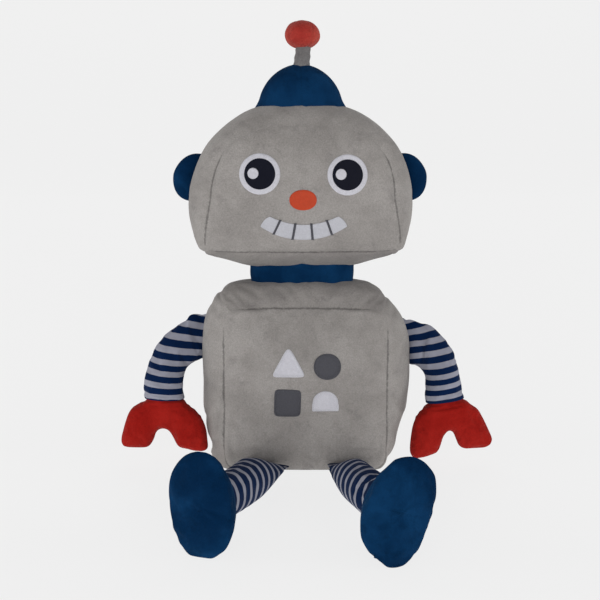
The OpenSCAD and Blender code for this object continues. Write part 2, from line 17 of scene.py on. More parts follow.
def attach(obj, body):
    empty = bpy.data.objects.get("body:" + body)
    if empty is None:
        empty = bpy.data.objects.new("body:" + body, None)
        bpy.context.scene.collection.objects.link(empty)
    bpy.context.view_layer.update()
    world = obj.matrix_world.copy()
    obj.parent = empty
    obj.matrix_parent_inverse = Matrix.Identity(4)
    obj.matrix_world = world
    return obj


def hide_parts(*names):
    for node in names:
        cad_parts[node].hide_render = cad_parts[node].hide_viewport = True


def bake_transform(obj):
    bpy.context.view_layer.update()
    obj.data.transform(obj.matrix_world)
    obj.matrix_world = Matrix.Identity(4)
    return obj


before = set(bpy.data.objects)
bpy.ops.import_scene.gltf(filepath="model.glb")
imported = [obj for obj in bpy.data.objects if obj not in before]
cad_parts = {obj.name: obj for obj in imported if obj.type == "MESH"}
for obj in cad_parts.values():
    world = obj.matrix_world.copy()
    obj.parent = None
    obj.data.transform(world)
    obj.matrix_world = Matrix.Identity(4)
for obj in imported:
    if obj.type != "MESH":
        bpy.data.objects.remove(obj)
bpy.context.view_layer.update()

MM = 0.001
LEAN, YAW = 8.0, 3.0
SCENE = bpy.context.scene


# ---- Numbers and frames ----

def sind(a):
    return np.sin(np.radians(a))


def cosd(a):
    return np.cos(np.radians(a))


def mix(a, b, f):
    return a + (b - a) * f


def smooth(x, low, high):
    f = np.clip((x - low) / (high - low), 0, 1)
    return f * f * (3 - 2 * f)


def stack(u, v, w):
    return np.stack(np.broadcast_arrays(u, v, w), -1).astype(float)


def lean(p):
    u, v, w = np.moveaxis(np.asarray(p, float), -1, 0)
    return stack(u, v * cosd(LEAN) + w * sind(LEAN), -v * sind(LEAN) + w * cosd(LEAN))


def on_floor(p, height=0.5):
    """The points, none of them lower than the height."""
    p[..., 2] = np.maximum(p[..., 2], height)
    return p


def super_r(t, a, b, n):
    """Radius of a rounded rectangle with half sizes a and b, at angle t."""
    return ((np.abs(cosd(t)) / a) ** n + (np.abs(sind(t)) / b) ** n) ** (-1 / n)


def spline(points, t):
    """Smooth curve through points, with t from 0 to 1 by length."""
    p = np.asarray(points, float)
    p = np.vstack([2 * p[0] - p[1], p, 2 * p[-1] - p[-2]])
    fine = []
    for a, b, c, d in zip(p, p[1:], p[2:], p[3:]):
        f = np.linspace(0, 1, 12, endpoint=False)[:, None]
        fine.append(0.5 * (2 * b + (c - a) * f + (2 * a - 5 * b + 4 * c - d) * f * f
                           + (3 * b - a - 3 * c + d) * f ** 3))
    fine = np.vstack(fine + [p[-2][None]])
    run = np.r_[0, np.cumsum(np.linalg.norm(np.diff(fine, axis=0), axis=1))]
    s = np.asarray(t) * run[-1]
    return np.stack([np.interp(s, run, fine[:, k]) for k in range(fine.shape[1])], -1)


def grain(p, size, seed):
    """Smooth repeatable noise from -1 to 1 over points, with features about size across."""
    rng = np.random.default_rng(seed)
    waves = rng.normal(size=(14, 3))
    waves *= (2 * np.pi / size) * rng.uniform(0.6, 1.4, (14, 1)) / np.linalg.norm(
        waves, axis=1, keepdims=True)
    phase = rng.uniform(0, 2 * np.pi, 14)
    return np.sin(p @ waves.T + phase).sum(-1) / 5.5


# ---- Materials ----

def node(tree, kind, values=None, **props):
    """Adds a shader node; values are its inputs, as numbers or other nodes' outputs."""
    n = tree.nodes.new("ShaderNode" + kind)
    for k, v in props.items():
        setattr(n, k, v)
    for k, v in (values or {}).items():
        if isinstance(v, bpy.types.NodeSocket):
            tree.links.new(v, n.inputs[k])
        else:
            n.inputs[k].default_value = v
    return n


def rgb(text):
    """Linear colour of a #rrggbb text."""
    c = [int(text[i:i + 2], 16) / 255 for i in (1, 3, 5)]
    return [x / 12.92 if x < 0.04045 else ((x + 0.055) / 1.055) ** 2.4 for x in c] + [1]


class Look:
    """A material in the making, with short calls for the nodes that the cloths share."""

    def __init__(self, name):
        self.material = bpy.data.materials.new(name)
        self.material.use_nodes = True
        self.tree = self.material.node_tree
        self.tree.nodes.clear()

    def read(self, name, part="Vector"):
        return node(self.tree, "Attribute", attribute_name=name).outputs[part]

    def noise(self, scale, detail=2.0, rough=0.5, warp=0.0):
        """Noise fixed to the cloth at rest, with scale features per metre."""
        return node(self.tree, "TexNoise", {
            "Vector": self.read("rest"), "Scale": scale, "Detail": detail, "Roughness": rough,
            "Distortion": warp}).outputs["Fac"]

    def ramp(self, value, low, high, to_low=0.0, to_high=1.0):
        return node(self.tree, "MapRange", {
            "Value": value, "From Min": low, "From Max": high, "To Min": to_low,
            "To Max": to_high}, interpolation_type="SMOOTHSTEP").outputs[0]

    def math(self, kind, *args):
        return node(self.tree, "Math", dict(enumerate(args)), operation=kind).outputs[0]

    def blend(self, factor, a, b, kind="MIX"):
        m = node(self.tree, "Mix", data_type="RGBA", blend_type=kind)
        for key, v in (("Factor", factor), ("A", a), ("B", b)):
            sockets = [s for s in m.inputs if s.name == key and s.enabled]
            if isinstance(v, bpy.types.NodeSocket):
                self.tree.links.new(v, sockets[0])
            else:
                sockets[0].default_value = v
        return [s for s in m.outputs if s.enabled][0]

    def shade(self, colour, value):
        """The colour times a value."""
        grey = node(self.tree, "CombineColor", dict.fromkeys(("Red", "Green", "Blue"), value))
        return self.blend(1.0, colour, grey.outputs[0], "MULTIPLY")

    def bump(self, height, distance, strength=1.0, below=None):
        values = {"Height": height, "Distance": distance, "Strength": strength}
        if below is not None:
            values["Normal"] = below
        return node(self.tree, "Bump", values).outputs[0]

    def done(self, colour, normal, roughness, sheen, tint, sheen_rough, specular):
        values = {
            "Base Color": colour, "Normal": normal, "Roughness": roughness,
            "Sheen Weight": sheen, "Sheen Tint": tint, "Sheen Roughness": sheen_rough,
            "Specular IOR Level": specular}
        shader = node(self.tree, "BsdfPrincipled", values)
        node(self.tree, "OutputMaterial", {"Surface": shader.outputs[0]})
        return self.material


def plush_look(name, mid, dark, pale, nap, sheen, tint, pile=0.6, seam_shade=0.5, specular=0.1):
    """Short-pile cloth: fine pile, brushed patches where the pile lies another way, and painted
    shade along its seams.
    """
    k = Look(name)
    mid, dark, pale = rgb(mid), rgb(dark), rgb(pale)
    patches = k.noise(nap, 4.0, 0.6, warp=0.3)
    soft = k.noise(nap * 3.4, 4.0, 0.65, warp=0.3)
    speck = k.noise(1500, 2.0, 0.75)
    clump = k.noise(760, 2.0, 0.7)
    colour = k.blend(k.ramp(patches, 0.36, 0.66), mid, pale)
    colour = k.blend(k.ramp(soft, 0.52, 0.78, 0, 0.65), colour, dark)
    fine = k.math("MULTIPLY_ADD", speck, pile, k.math("MULTIPLY_ADD", clump, pile, 1 - pile))
    colour = k.shade(colour, fine)
    # Painted shade along the seams: the colour darkens to seam_shade at a seam, with a ragged edge
    ragged = k.math("MULTIPLY_ADD", k.noise(330, 2.0, 0.6), 2.6, -1.3)
    near = k.ramp(k.math("ADD", k.read("seam", "Fac"), ragged), 0.0, 1.5, seam_shade, 1.0)
    colour = k.shade(colour, near)
    normal = k.bump(soft, 0.0012, 0.25)
    normal = k.bump(clump, 0.0009, 0.5, normal)
    normal = k.bump(speck, 0.0006, 0.6, normal)
    return k.done(colour, normal, 0.95, sheen, tint, 0.45, specular)


def jersey_look():
    """Knitted stripes. The yarn attribute is (across, along, extra share of navy), in mm."""
    k = Look("striped_jersey")
    split = node(k.tree, "SeparateXYZ", {0: k.read("yarn")})
    across, along = split.outputs[0], split.outputs[1]
    wobble = k.math("MULTIPLY_ADD", k.noise(160, 2.0), 0.7, -0.35)
    run = k.math("ADD", along, wobble)
    widen = split.outputs[2]
    phase = k.math("PINGPONG", run, 0.5)
    count = k.math("ADD", k.read("stripe", "Fac"), k.math("MULTIPLY", wobble, 0.05))
    band = k.ramp(k.math("SUBTRACT", k.math("PINGPONG", count, 0.5), widen), 0.25, 0.28)
    navy, pale = rgb("#031c40"), rgb("#92939f")
    colour = k.blend(band, navy, pale)
    mottle = k.math("MULTIPLY_ADD", k.noise(90, 3.0, 0.6), 0.34, 0.83)
    wale = k.math("PINGPONG", across, 0.42)
    knit = k.math("MULTIPLY_ADD", wale, 0.42, 0.88)
    colour = k.shade(colour, k.math("MULTIPLY", mottle, knit))
    normal = k.bump(wale, 0.0004, 0.7)
    normal = k.bump(phase, 0.0003, 0.35, normal)
    normal = k.bump(k.noise(900, 2.0, 0.6), 0.0003, 0.4, normal)
    return k.done(colour, normal, 0.9, 0.05, (0.6, 0.7, 0.9, 1), 0.4, 0.08)


def thread_look(name, colour, deep, pitch=0.5, sheen=0.3, specular=0.3):
    """Satin stitches: fine ridges, where the yarn attribute's x counts across them in mm."""
    k = Look(name)
    split = node(k.tree, "SeparateXYZ", {0: k.read("yarn")})
    shake = k.math("MULTIPLY_ADD", k.noise(300, 2.0), 0.8, -0.4)
    ridge = k.math("PINGPONG", k.math("ADD", split.outputs[0], shake), pitch / 2)
    tone = k.ramp(ridge, 0.02, pitch * 0.36, 0.0, 1.0)
    base = k.blend(tone, rgb(deep), rgb(colour))
    mottle = k.math("MULTIPLY_ADD", k.noise(700, 2.0, 0.6), 0.3, 0.85)
    base = k.shade(base, mottle)
    normal = k.bump(ridge, 0.0009, 0.8)
    return k.done(base, normal, 0.62, sheen, (1, 1, 1, 1), 0.35, specular)


WARM = (0.95, 0.92, 0.9, 1)  # tint of the grey cloth's sheen
GREY = plush_look("grey_minky", "#888481", "#757170", "#94908d", 24, 0.2, WARM)
# A darker copy of the same cloth, as painted shade: on the torso's top under the head and on the
# undersides of the torso and head
SHADED_GREY = plush_look("grey_minky_painted_shade", "#7f7b79", "#6b6766", "#8b8784", 24, 0.12, WARM)
STEM_GREY = plush_look("stem_minky", "#676565", "#585656", "#747272", 24, 0.15, WARM)
NAVY = plush_look("navy_velour", "#03213f", "#011931", "#0b3256", 19, 0.05,
                  (0.1, 0.4, 0.8, 1), pile=0.25, seam_shade=0.72, specular=0.04)
RED = plush_look("red_velour", "#8d1611", "#7a100d", "#9c1f19", 24, 0.12,
                 (0.9, 0.3, 0.25, 1), pile=0.25, seam_shade=0.72, specular=0.06)
BALL_RED = plush_look("ball_velour", "#952d27", "#84221e", "#a53f34", 40, 0.22,
                      (1.0, 0.5, 0.45, 1), seam_shade=0.85)
JERSEY = jersey_look()
WHITE = thread_look("white_thread", "#d3d2d9", "#aeadb6")
TOOTH_WHITE = thread_look("tooth_thread", "#c4c5cb", "#a09fa8")
DARK = thread_look("dark_thread", "#080b1e", "#03040e", sheen=0.0, specular=0.12)
CHARCOAL = thread_look("charcoal_thread", "#505057", "#323238")
ORANGE = thread_look("orange_thread", "#c4421b", "#9a3014", sheen=0.05)


# ---- Meshes ----

def outward(faces, verts):
    """The same faces, all turned to face out of a closed mesh."""
    bm = bmesh.new()
    for v in verts:
        bm.verts.new(v)
    bm.verts.ensure_lookup_table()
    for f in faces:
        bm.faces.new([bm.verts[i] for i in f])
    bmesh.ops.recalc_face_normals(bm, faces=bm.faces)
    bm.verts.index_update()
    out = [[v.index for v in f.verts] for f in bm.faces]
    bm.free()
    return out


def edges_of(faces):
    pairs = {(min(a, b), max(a, b)) for f in faces for a, b in zip(f, f[1:] + f[:1])}
    return np.array(sorted(pairs))


def relax(values, edges, times):
    """Averages a value per vertex with its neighbours, a number of times."""
    degree = np.bincount(edges.ravel(), minlength=len(values))[:, None]
    out = values.copy()
    for _ in range(times):
        total = np.zeros_like(out)
        np.add.at(total, edges[:, 0], out[edges[:, 1]])
        np.add.at(total, edges[:, 1], out[edges[:, 0]])
        out = 0.5 * out + 0.5 * total / np.maximum(degree, 1)
    return out


FRAMES = 20             # of the cloth simulation
CLOTH = dict(quality=5, mass=0.15, tension_stiffness=12, compression_stiffness=12,
             shear_stiffness=6, bending_stiffness=0.2, vertex_group_mass="held",
             use_pressure=True, uniform_pressure_force=4.0)


def cloth(verts, faces, pins, grow):
    """Blows a cloth shell up with its seams held still, and returns where its points went."""
    me = bpy.data.meshes.new("cloth")
    me.from_pydata((verts * MM).tolist(), [], faces)
    ob = bpy.data.objects.new("cloth", me)
    SCENE.collection.objects.link(ob)
    ob.vertex_groups.new(name="held").add([int(i) for i in pins], 1.0, "REPLACE")
    mod = ob.modifiers.new("Cloth", "CLOTH")
    for key, value in CLOTH.items():
        setattr(mod.settings, key, value)
    mod.settings.shrink_min = -grow
    mod.settings.effector_weights.gravity = 0
    mod.point_cache.frame_start, mod.point_cache.frame_end = 1, FRAMES
    for f in range(1, FRAMES + 1):
        SCENE.frame_set(f)
    done = ob.evaluated_get(bpy.context.evaluated_depsgraph_get()).to_mesh()
    out = np.zeros(len(verts) * 3)
    done.vertices.foreach_get("co", out)
    bpy.data.objects.remove(ob)
    bpy.data.meshes.remove(me)
    SCENE.frame_set(1)
    return out.reshape(-1, 3) / MM


def puff(start, target, faces, pins, gain=1.0, cap=3.0, grow=0.05):
    """The target shape with the creases that cloth simulation puts into the start shape."""
    moved = cloth(start, faces, pins, grow) - start
    edges = edges_of(faces)
    creases = moved - relax(moved, edges, 30)
    size = np.linalg.norm(creases, axis=1, keepdims=True)
    creases *= np.minimum(1, cap / np.maximum(size, 1e-9))
    return target + gain * creases


def normals_of(verts, faces):
    out = np.zeros_like(verts)
    for f in faces:
        p = verts[f]
        n = np.cross(p[1] - p[0], p[2] - p[0])
        if len(f) == 4:
            n = np.cross(p[2] - p[0], p[3] - p[1])
        out[f] += n
    return out / np.maximum(np.linalg.norm(out, axis=1, keepdims=True), 1e-9)


SEAM_FAR = 9.0          # distance to a seam, in mm, where a piece has none


def sink(verts, n, seam, depth, spread):
    """Presses a groove into the surface along its seams."""
    return verts - n * (depth * np.exp(-(seam / spread) ** 2))[:, None]


def grid_faces(rows, n, wrap):
    """Quads over rows of n points, closed round when wrap is set."""
    pairs = [(j, (j + 1) % n) for j in range(n if wrap else n - 1)]
    return [[i + j, i + q, i + n + q, i + n + j]
            for i in range(0, (rows - 1) * n, n) for j, q in pairs]


def fan(start, n, tip, back=False):
    """Triangles from a ring of n points to a tip."""
    ring = [(start + j, start + (j + 1) % n) for j in range(n)]
    return [[b, tip, a] if back else [a, tip, b] for a, b in ring]


def tube(rings, n, ends, held, cap):
    """Blows up a tube of rings of n points, with some rings held at each of its ends.

    Returns its points, its faces without the end caps, and its normals."""
    closed = np.vstack([rings, ends])
    end, held = len(rings), held * n
    faces = outward(grid_faces(end // n, n, True) + fan(0, n, end)
                    + fan(end - n, n, end + 1, True), closed)
    normal = normals_of(closed, faces)
    pins = np.r_[np.arange(held), end - held + np.arange(held), end, end + 1]
    verts = puff(closed - 0.8 * normal, closed, faces, pins, cap=cap)[:end]
    return verts, [f for f in faces if max(f) < end], normal[:end]


def crossing(a, b, start, end):
    """Arguments for a piece that runs between two bodies, from start to end."""
    return a, b, tuple(np.array(start) * MM), tuple(np.array(end) * MM)


def piece(name, verts, faces, look, body, stands_for, thick=1.2, seam=None,
          yarn=None, stripe=None, blend=None, rest=None):
    """Makes a mesh, smooths and thickens it, parents it to its body unless it has a blend, and
    hides the parts it stands for.

    A piece without thickness is a closed block of stitches: it is left as it is."""
    me = bpy.data.meshes.new(name)
    me.from_pydata((verts * MM).tolist(), [], [list(map(int, f)) for f in faces])
    for key, kind, data in (("rest", "FLOAT_VECTOR", (verts if rest is None else rest) * MM),
                            ("yarn", "FLOAT_VECTOR", yarn),
                            ("seam", "FLOAT", 0 * verts[:, 0] + SEAM_FAR if seam is None else seam),
                            ("stripe", "FLOAT", stripe)):
        if data is not None:
            field = "vector" if kind == "FLOAT_VECTOR" else "value"
            me.attributes.new(key, kind, "POINT").data.foreach_set(
                field, np.asarray(data, np.float32).ravel())
    ob = bpy.data.objects.new(name, me)
    SCENE.collection.objects.link(ob)
    me.materials.append(look)
    if thick:
        sub = ob.modifiers.new("Smooth", "SUBSURF")
        sub.levels = sub.render_levels = 1
        sub.boundary_smooth = "PRESERVE_CORNERS"
        solid = ob.modifiers.new("Thickness", "SOLIDIFY")
        solid.thickness, solid.offset = thick * MM, -1
    final = bpy.data.meshes.new_from_object(
        ob.evaluated_get(bpy.context.evaluated_depsgraph_get()))
    ob.modifiers.clear()
    ob.data = final
    final.name = name
    final.shade_smooth()
    final.set_sharp_from_angle(angle=math.radians(65))
    if blend:
        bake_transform(ob)
    else:
        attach(ob, body)
    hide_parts(*stands_for)
    return ob


def take(faces, keep):
    """The chosen faces renumbered, and which vertices they use."""
    chosen = [f for f, k in zip(faces, keep) if k]
    used = np.array(sorted({i for f in chosen for i in f}))
    where = {int(i): n for n, i in enumerate(used)}
    return [[where[i] for i in f] for f in chosen], used


# ---- Pillows with a front, a back and a band between them ----

UNSTUFFED = 0.86        # share of the swell before the cloth simulation


class Pillow:
    """Quads over a four-cornered pillow: m along each side of the rim, d over its depth.

    corners are the angles of the band's seams and rim(t) is its radius. A rim place runs from
    0 to 4 round the corners. Labels: 0 to 3 for the band's sides, 4 front and 5 back."""

    def __init__(self, m, d, corners, rim):
        self.m, self.d, self.n = m, d, 4 * m
        n = self.n
        place, angle = [], []
        for k, (a, b) in enumerate(zip(corners, corners[1:] + [corners[0] + 360])):
            t = np.linspace(a, b, 200)
            p = stack(rim(t) * cosd(t), 0, rim(t) * sind(t))
            run = np.r_[0, np.cumsum(np.linalg.norm(np.diff(p, axis=0), axis=1))]
            place += list(k + run[:-1] / run[-1])
            angle += list(t[:-1])
        self.place, self.angle = np.array(place + [4.0]), np.array(angle + [corners[0] + 360.0])
        inner = [(i, j) for j in range(1, m) for i in range(1, m)]
        x, y = 2 * np.array(inner).T / m - 1
        k = np.maximum(np.maximum(np.abs(x), np.abs(y)), 1e-6)
        tiny = 1e-9
        side = np.select([x >= np.abs(y) - tiny, y >= np.abs(x) - tiny, -x >= np.abs(y) - tiny],
                         [0, 1, 2], 3)
        part = np.select([side == 0, side == 1, side == 2], [y / k + 1, 1 - x / k, 1 - y / k],
                         x / k + 1) / 2
        self.cap_r, self.cap_place = k, side + part
        base = (d + 1) * n

        def cap(i, j, first, row):
            if i == m:
                return row * n + j % n
            if j == m:
                return row * n + m + (m - i)
            if i == 0:
                return row * n + (2 * m + (m - j)) % n
            if j == 0:
                return row * n + 3 * m + i
            return first + (j - 1) * (m - 1) + i - 1

        self.faces, label = grid_faces(d + 1, n, True), [j // m for j in range(n)] * d
        for kind, first, row in ((4, base, 0), (5, base + len(inner), d)):
            for j in range(m):
                for i in range(m):
                    self.faces.append([cap(i, j, first, row), cap(i + 1, j, first, row),
                                       cap(i + 1, j + 1, first, row), cap(i, j + 1, first, row)])
                    label.append(kind)
        self.label = np.array(label)
        self.rim_rows = np.r_[np.arange(n), d * n + np.arange(n)]

    def points(self, band, end):
        """All points, from band(t, s) and end(t, r, side)."""
        s = np.linspace(-1, 1, self.d + 1)
        s = np.sign(s) * np.abs(s) ** 0.8
        t = np.interp(np.arange(self.n) / self.m, self.place, self.angle)
        inner = np.interp(self.cap_place, self.place, self.angle)
        return np.vstack([band(t, q) for q in s]
                         + [end(inner, self.cap_r, side) for side in (-1, 1)])

    def shapes(self, surface):
        """The points before and after stuffing, with the faces turned outward."""
        start, target = (self.points(*surface(full)) for full in (UNSTUFFED, 1.0))
        self.faces = outward(self.faces, target)
        return start, target

    def seams(self, columns=(0, 1, 2, 3)):
        """Points on the rims and on the band's corner seams."""
        cols = [np.arange(self.d + 1) * self.n + c * self.m for c in columns]
        return np.unique(np.concatenate([self.rim_rows] + cols))


def near_seams(verts, seams):
    """Distance of each point to the nearest seam point, in mm."""
    tree = KDTree(len(seams))
    for i, s in enumerate(seams):
        tree.insert(verts[s], i)
    tree.balance()
    return np.array([tree.find(v)[2] for v in verts])


def swell_f(s, power=2.5):
    """Share of the band's swell at depth s from -1 to 1."""
    return np.maximum(0, 1 - np.abs(s) ** power) ** 0.8


def end_f(r):
    """Share of the front's swell at share r of the rim."""
    return np.maximum(0, 1 - np.minimum(r, 1) ** 2.4) ** 0.85


# ---- Torso ----

HALF_W, TOP, MID_W, HALF_D = 68.2, 132.0, 67.0, 42.0
TORSO_SWELL, CHEST_SWELL, BASE_Z = 21.5, 13.0, 0.5
TORSO_TUCKS = ((42.3, 12, 10), (138, 5.5, 8), (-30, 4.5, 14), (-46, 7.5, 8), (-10, 1.2, 9),
               (180, 2.6, 14), (222, -2.5, 6))  # angle, depth, width of each tuck


def torso_rim(t, v):
    low = MID_W - (BASE_Z + v * sind(LEAN)) / cosd(LEAN)
    return super_r(t, HALF_W, np.where(sind(t) > 0, TOP - MID_W, low), 12)


def hump(t, at, width):
    """A bump of height 1 round an angle."""
    return np.exp(-(((t - at + 180) % 360 - 180) / width) ** 2)


def torso_swell(t):
    up = sind(t)
    fall = np.where(up > -0.3, 1 - 0.05 * np.maximum(0, up) ** 8,
                    np.maximum(0, 1 - 0.9 * (-0.3 - up)))
    return TORSO_SWELL * fall - sum(depth * hump(t, at, w) for at, depth, w in TORSO_TUCKS)


def torso_pillow(full):
    """Band and end functions, with the swell at a share of its full size."""
    def flat(p):
        return on_floor(lean(p), BASE_Z)

    def band(t, s):
        up = sind(t)
        bulge = swell_f(s, 2.5 + 2.0 * np.maximum(0, up) ** 3)
        r = torso_rim(t, s * HALF_D) + full * torso_swell(t) * bulge
        return flat(stack(r * cosd(t), s * HALF_D, MID_W + r * up))

    def end(t, r, side):
        q = r * torso_rim(t, side * HALF_D)
        v = side * (HALF_D + full * CHEST_SWELL * end_f(r))
        return flat(stack(q * cosd(t), v, MID_W + q * sind(t)))
    return band, end


def split(pillow, rest, seams, names, body, groove, show):
    """Sinks the seams and makes each panel a piece of its own; show fades a seam in or out."""
    seam = near_seams(rest, seams)
    corner = near_seams(rest, np.setdiff1d(seams, pillow.rim_rows))
    show = show * np.minimum(1, 0.3 + corner / 12)
    verts = sink(rest, normals_of(rest, pillow.faces), seam, groove * show, 1.6)
    seam = seam + 3.0 * (1 - show)
    made = {}
    for name, (label, nodes, look) in names.items():
        faces, used = take(pillow.faces, np.isin(pillow.label, label))
        made[name] = piece(name, verts[used], faces, look, body, nodes, seam=seam[used],
                           rest=rest[used])
    return made


def make_torso():
    pillow = Pillow(44, 28, [-54, 45, 135, 234], lambda t: torso_rim(t, -HALF_D))
    start, target = pillow.shapes(torso_pillow)
    seams = pillow.seams()
    floor = np.where(start[:, 2] < BASE_Z + 0.4)[0]
    verts = puff(start, target, pillow.faces, np.union1d(seams, floor))
    on_floor(verts, BASE_Z)
    corners = lean([[-HALF_W, -HALF_D, 130], [HALF_W, -HALF_D, 130]])
    away = np.linalg.norm(target[:, None] - corners[None], axis=2).min(1)
    show = 0.35 + 0.65 * smooth(away, 6, 22)  # weaker at the chest's top corners
    return split(pillow, verts, seams, {
        "chest_panel_plush": (4, ["chest_panel", "torso_filling"], GREY),
        "torso_back_plush": (5, ["torso_back_panel"], GREY),
        "torso_left_plush": (0, ["torso_left_panel"], GREY),
        # The top and base panels take the darker cloth: painted shade under the head and underneath
        "torso_top_plush": (1, ["torso_top_panel"], SHADED_GREY),
        "torso_right_plush": (2, ["torso_right_panel"], GREY),
        "torso_base_plush": (3, ["torso_base_panel"], SHADED_GREY),
    }, "torso", 0.9, show)


# ---- Head ----

HEAD = np.array([-4.2, 0, 222])
HEAD_W, RISE, DROP, HEAD_D, FACE_SWELL, CORNER = 76, 58.5, 44.5, 40, 11, -29
# How far the head's band stands out of its rim, by height angle
HEAD_BULGE = ((-90, 14.8), (-53, 16.6), (-46, 15), (-38, 10.6), (-29, 6), (-21, 9), (-13, 15),
              (-5, 18), (1, 18.6), (10, 17), (19, 16), (37, 14.6), (48, 17), (58, 20), (90, 21.5))


def head_rim(t):
    low = np.maximum(0, -sind(t))
    up = sind(t) > 0
    a, b = HEAD_W * (1 + 0.165 * low), np.where(up, RISE, DROP)
    n = np.where(up, 2.5, 12.0)
    return super_r(t, a, b, n) * (1 - 0.014 * hump(t, 162, 12) + 0.01 * hump(t, 142, 12)
                + 0.028 * hump(t, 42, 18))


def yaw(p):
    """The head looks slightly to its side."""
    u, v, w = np.moveaxis(np.asarray(p, float), -1, 0)
    d = u - HEAD[0]
    return stack(HEAD[0] + d * cosd(YAW) - v * sind(YAW), d * sind(YAW) + v * cosd(YAW), w)


def head_place(p):
    return lean(yaw(p))


def head_swell_at(t):
    """HEAD_BULGE, smoothed."""
    angle, bulge = np.array(HEAD_BULGE, float).T
    a = np.degrees(np.arcsin(sind(t)))
    return sum(np.interp(a + d, angle, bulge) for d in (-4, -2, 0, 2, 4)) / 5


def head_pt(t, s, up=0.0, full=1.0):
    """Point on the head's band: angle, depth from -1 to 1, height above it, share of swell."""
    r = head_rim(t) + full * head_swell_at(t) * swell_f(s) + up
    return head_place(stack(HEAD[0] + r * cosd(t), s * HEAD_D, HEAD[2] + r * sind(t)))


def head_pillow(full):
    """Band and end functions, as in torso_pillow()."""
    def end(t, r, side):
        q = r * head_rim(t)
        v = side * (HEAD_D + full * FACE_SWELL * end_f(r))
        return head_place(stack(HEAD[0] + q * cosd(t), v, HEAD[2] + q * sind(t)))
    return (lambda t, s: head_pt(t, s, 0.0, full)), end


def make_head():
    pillow = Pillow(44, 26, [CORNER, 45, 135, 180 - CORNER], head_rim)
    start, target = pillow.shapes(head_pillow)
    seams = pillow.seams((0, 3))
    verts = puff(start, target, pillow.faces, seams, gain=0.75, grow=0.04)
    show = 1 - 0.95 * smooth(target[:, 2], 254, 274)  # the face seam fades over the brow
    return split(pillow, verts, seams, {
        "face_plush": (4, ["face_panel", "head_filling"], GREY),
        "head_back_plush": (5, ["head_back_panel"], GREY),
        "head_gusset_plush": ([0, 1, 2], ["head_gusset"], GREY),
        # The base panel takes the darker cloth: painted shade on the head's underside
        "head_base_plush": (3, ["head_base_panel"], SHADED_GREY),
    }, "head", 1.0, show)


# ---- Embroidery and patches, laid on the finished face and chest ----

def bvh(ob):
    me = ob.data
    return BVHTree.FromPolygons([v.co.copy() for v in me.vertices],
                                [list(p.vertices) for p in me.polygons])


def on_surface(tree, place, u, w, up):
    """Points up above the cloth in front of (u, w); place takes points to the model's frame."""
    far = place(stack(u, np.full(np.shape(u), -150.0), w))
    way = place(stack(u, np.full(np.shape(u), -140.0), w)) - far
    up = np.broadcast_to(up, np.shape(u))
    out = np.zeros_like(far)
    for i in np.ndindex(up.shape):
        d = Vector(way[i]).normalized()
        out[i] = np.array(tree.ray_cast(Vector(far[i] * MM), d)[0]) / MM - np.array(d) * up[i]
    return out


def face_spot(u, w):
    """The turned head carries what is sewn on its face a little to the side."""
    return u - 2.2, w


AROUND = np.arange(96) * 3.75  # directions of an outline's points


def badge(edges, circle, p):
    """Outline radii of a rounded shape with straight edges, each (direction, distance)."""
    total = np.full(len(AROUND), circle ** -float(p))
    for a, d in edges:
        total += (np.maximum(0, cosd(AROUND - a)) / d) ** p
    return total ** (-1 / p)


SUNK = -0.6             # depth of a patch's edge in the cloth


def stitch_disc(name, tree, place, centre, radii, look, body, lift=0.25, height=0.7,
                border=0.0, radial=0.0, rim_up=0.0, angle=90.0):
    """A closed patch: a low crown with its edge sunk into the cloth below it.

    The stitches run across it at an angle, and around it outside the radial share of it."""
    n = len(radii)
    t = np.arange(n) * 360 / n
    ks = np.r_[0.06, 0.2, 0.36, 0.52, 0.66, 0.78, 0.86, 0.92, 0.965, 0.99, 1.0]
    crown = height * (1 - ks ** 12) ** 0.5
    if border:
        inside = 1 - border / radii.mean()
        crown = np.where(ks < inside, height * 0.55, crown + rim_up)
    du, dw = ks[:, None] * radii * cosd(t), ks[:, None] * radii * sind(t)
    u, w = centre[0] + du, centre[1] + dw
    top = on_surface(tree, place, u, w, (lift + crown)[:, None])
    low = on_surface(tree, place, u, w, SUNK)[::-1]
    mid = on_surface(tree, place, *np.repeat(np.array(centre)[:, None], 2, 1),
                     np.array([lift + crown[0], SUNK]))
    verts = np.vstack([top.reshape(-1, 3), low.reshape(-1, 3), mid])
    rows = 2 * len(ks)
    end = rows * n
    faces = outward(grid_faces(rows, n, True) + fan(0, n, end)
                    + fan(end - n, n, end + 1, True), verts)
    fill = stack(du * cosd(angle - 90) + dw * sind(angle - 90), 0, 0)
    ring = stack(np.radians(t) * radii.mean() + 0 * du, 0, 0)
    yarn = np.where((ks > radial)[:, None, None], ring, fill) if radial else fill
    yarn = np.vstack([yarn.reshape(-1, 3), yarn[::-1].reshape(-1, 3), np.zeros((2, 3))])
    piece(name, verts, faces, look, body, [name.rpartition("_")[0]], thick=0, yarn=yarn)


EYES, EYE_R = {"right": (-37.3, 241.3), "left": (33.4, 240.5)}, 16.4
PUPIL_R, GLINT_R = 12.75, 4.4
NOSE, NOSE_HALF = (-2.6, 220.4), (11.0, 8.2)


def make_face(face):
    tree, place = bvh(face), head_place
    for side, (u, w) in EYES.items():
        at = face_spot(u, w)
        stitch_disc(f"eye_{side}_thread", tree, place, at, np.full(96, EYE_R), WHITE, "head",
                    radial=0.5, height=0.8)
        stitch_disc(f"pupil_{side}_thread", tree, place, at, np.full(96, PUPIL_R), DARK, "head",
                    lift=0.8, height=0.5)
        stitch_disc(f"glint_{side}_thread", tree, place, (at[0] - 5.4, at[1] + 0.4),
                    np.full(48, GLINT_R), WHITE, "head", lift=1.2, height=0.5, angle=0.0)
    stitch_disc("nose_thread", tree, place, face_spot(*NOSE), super_r(AROUND, *NOSE_HALF, 2.1),
                ORANGE, "head", height=0.8)
    make_smile(tree, place)


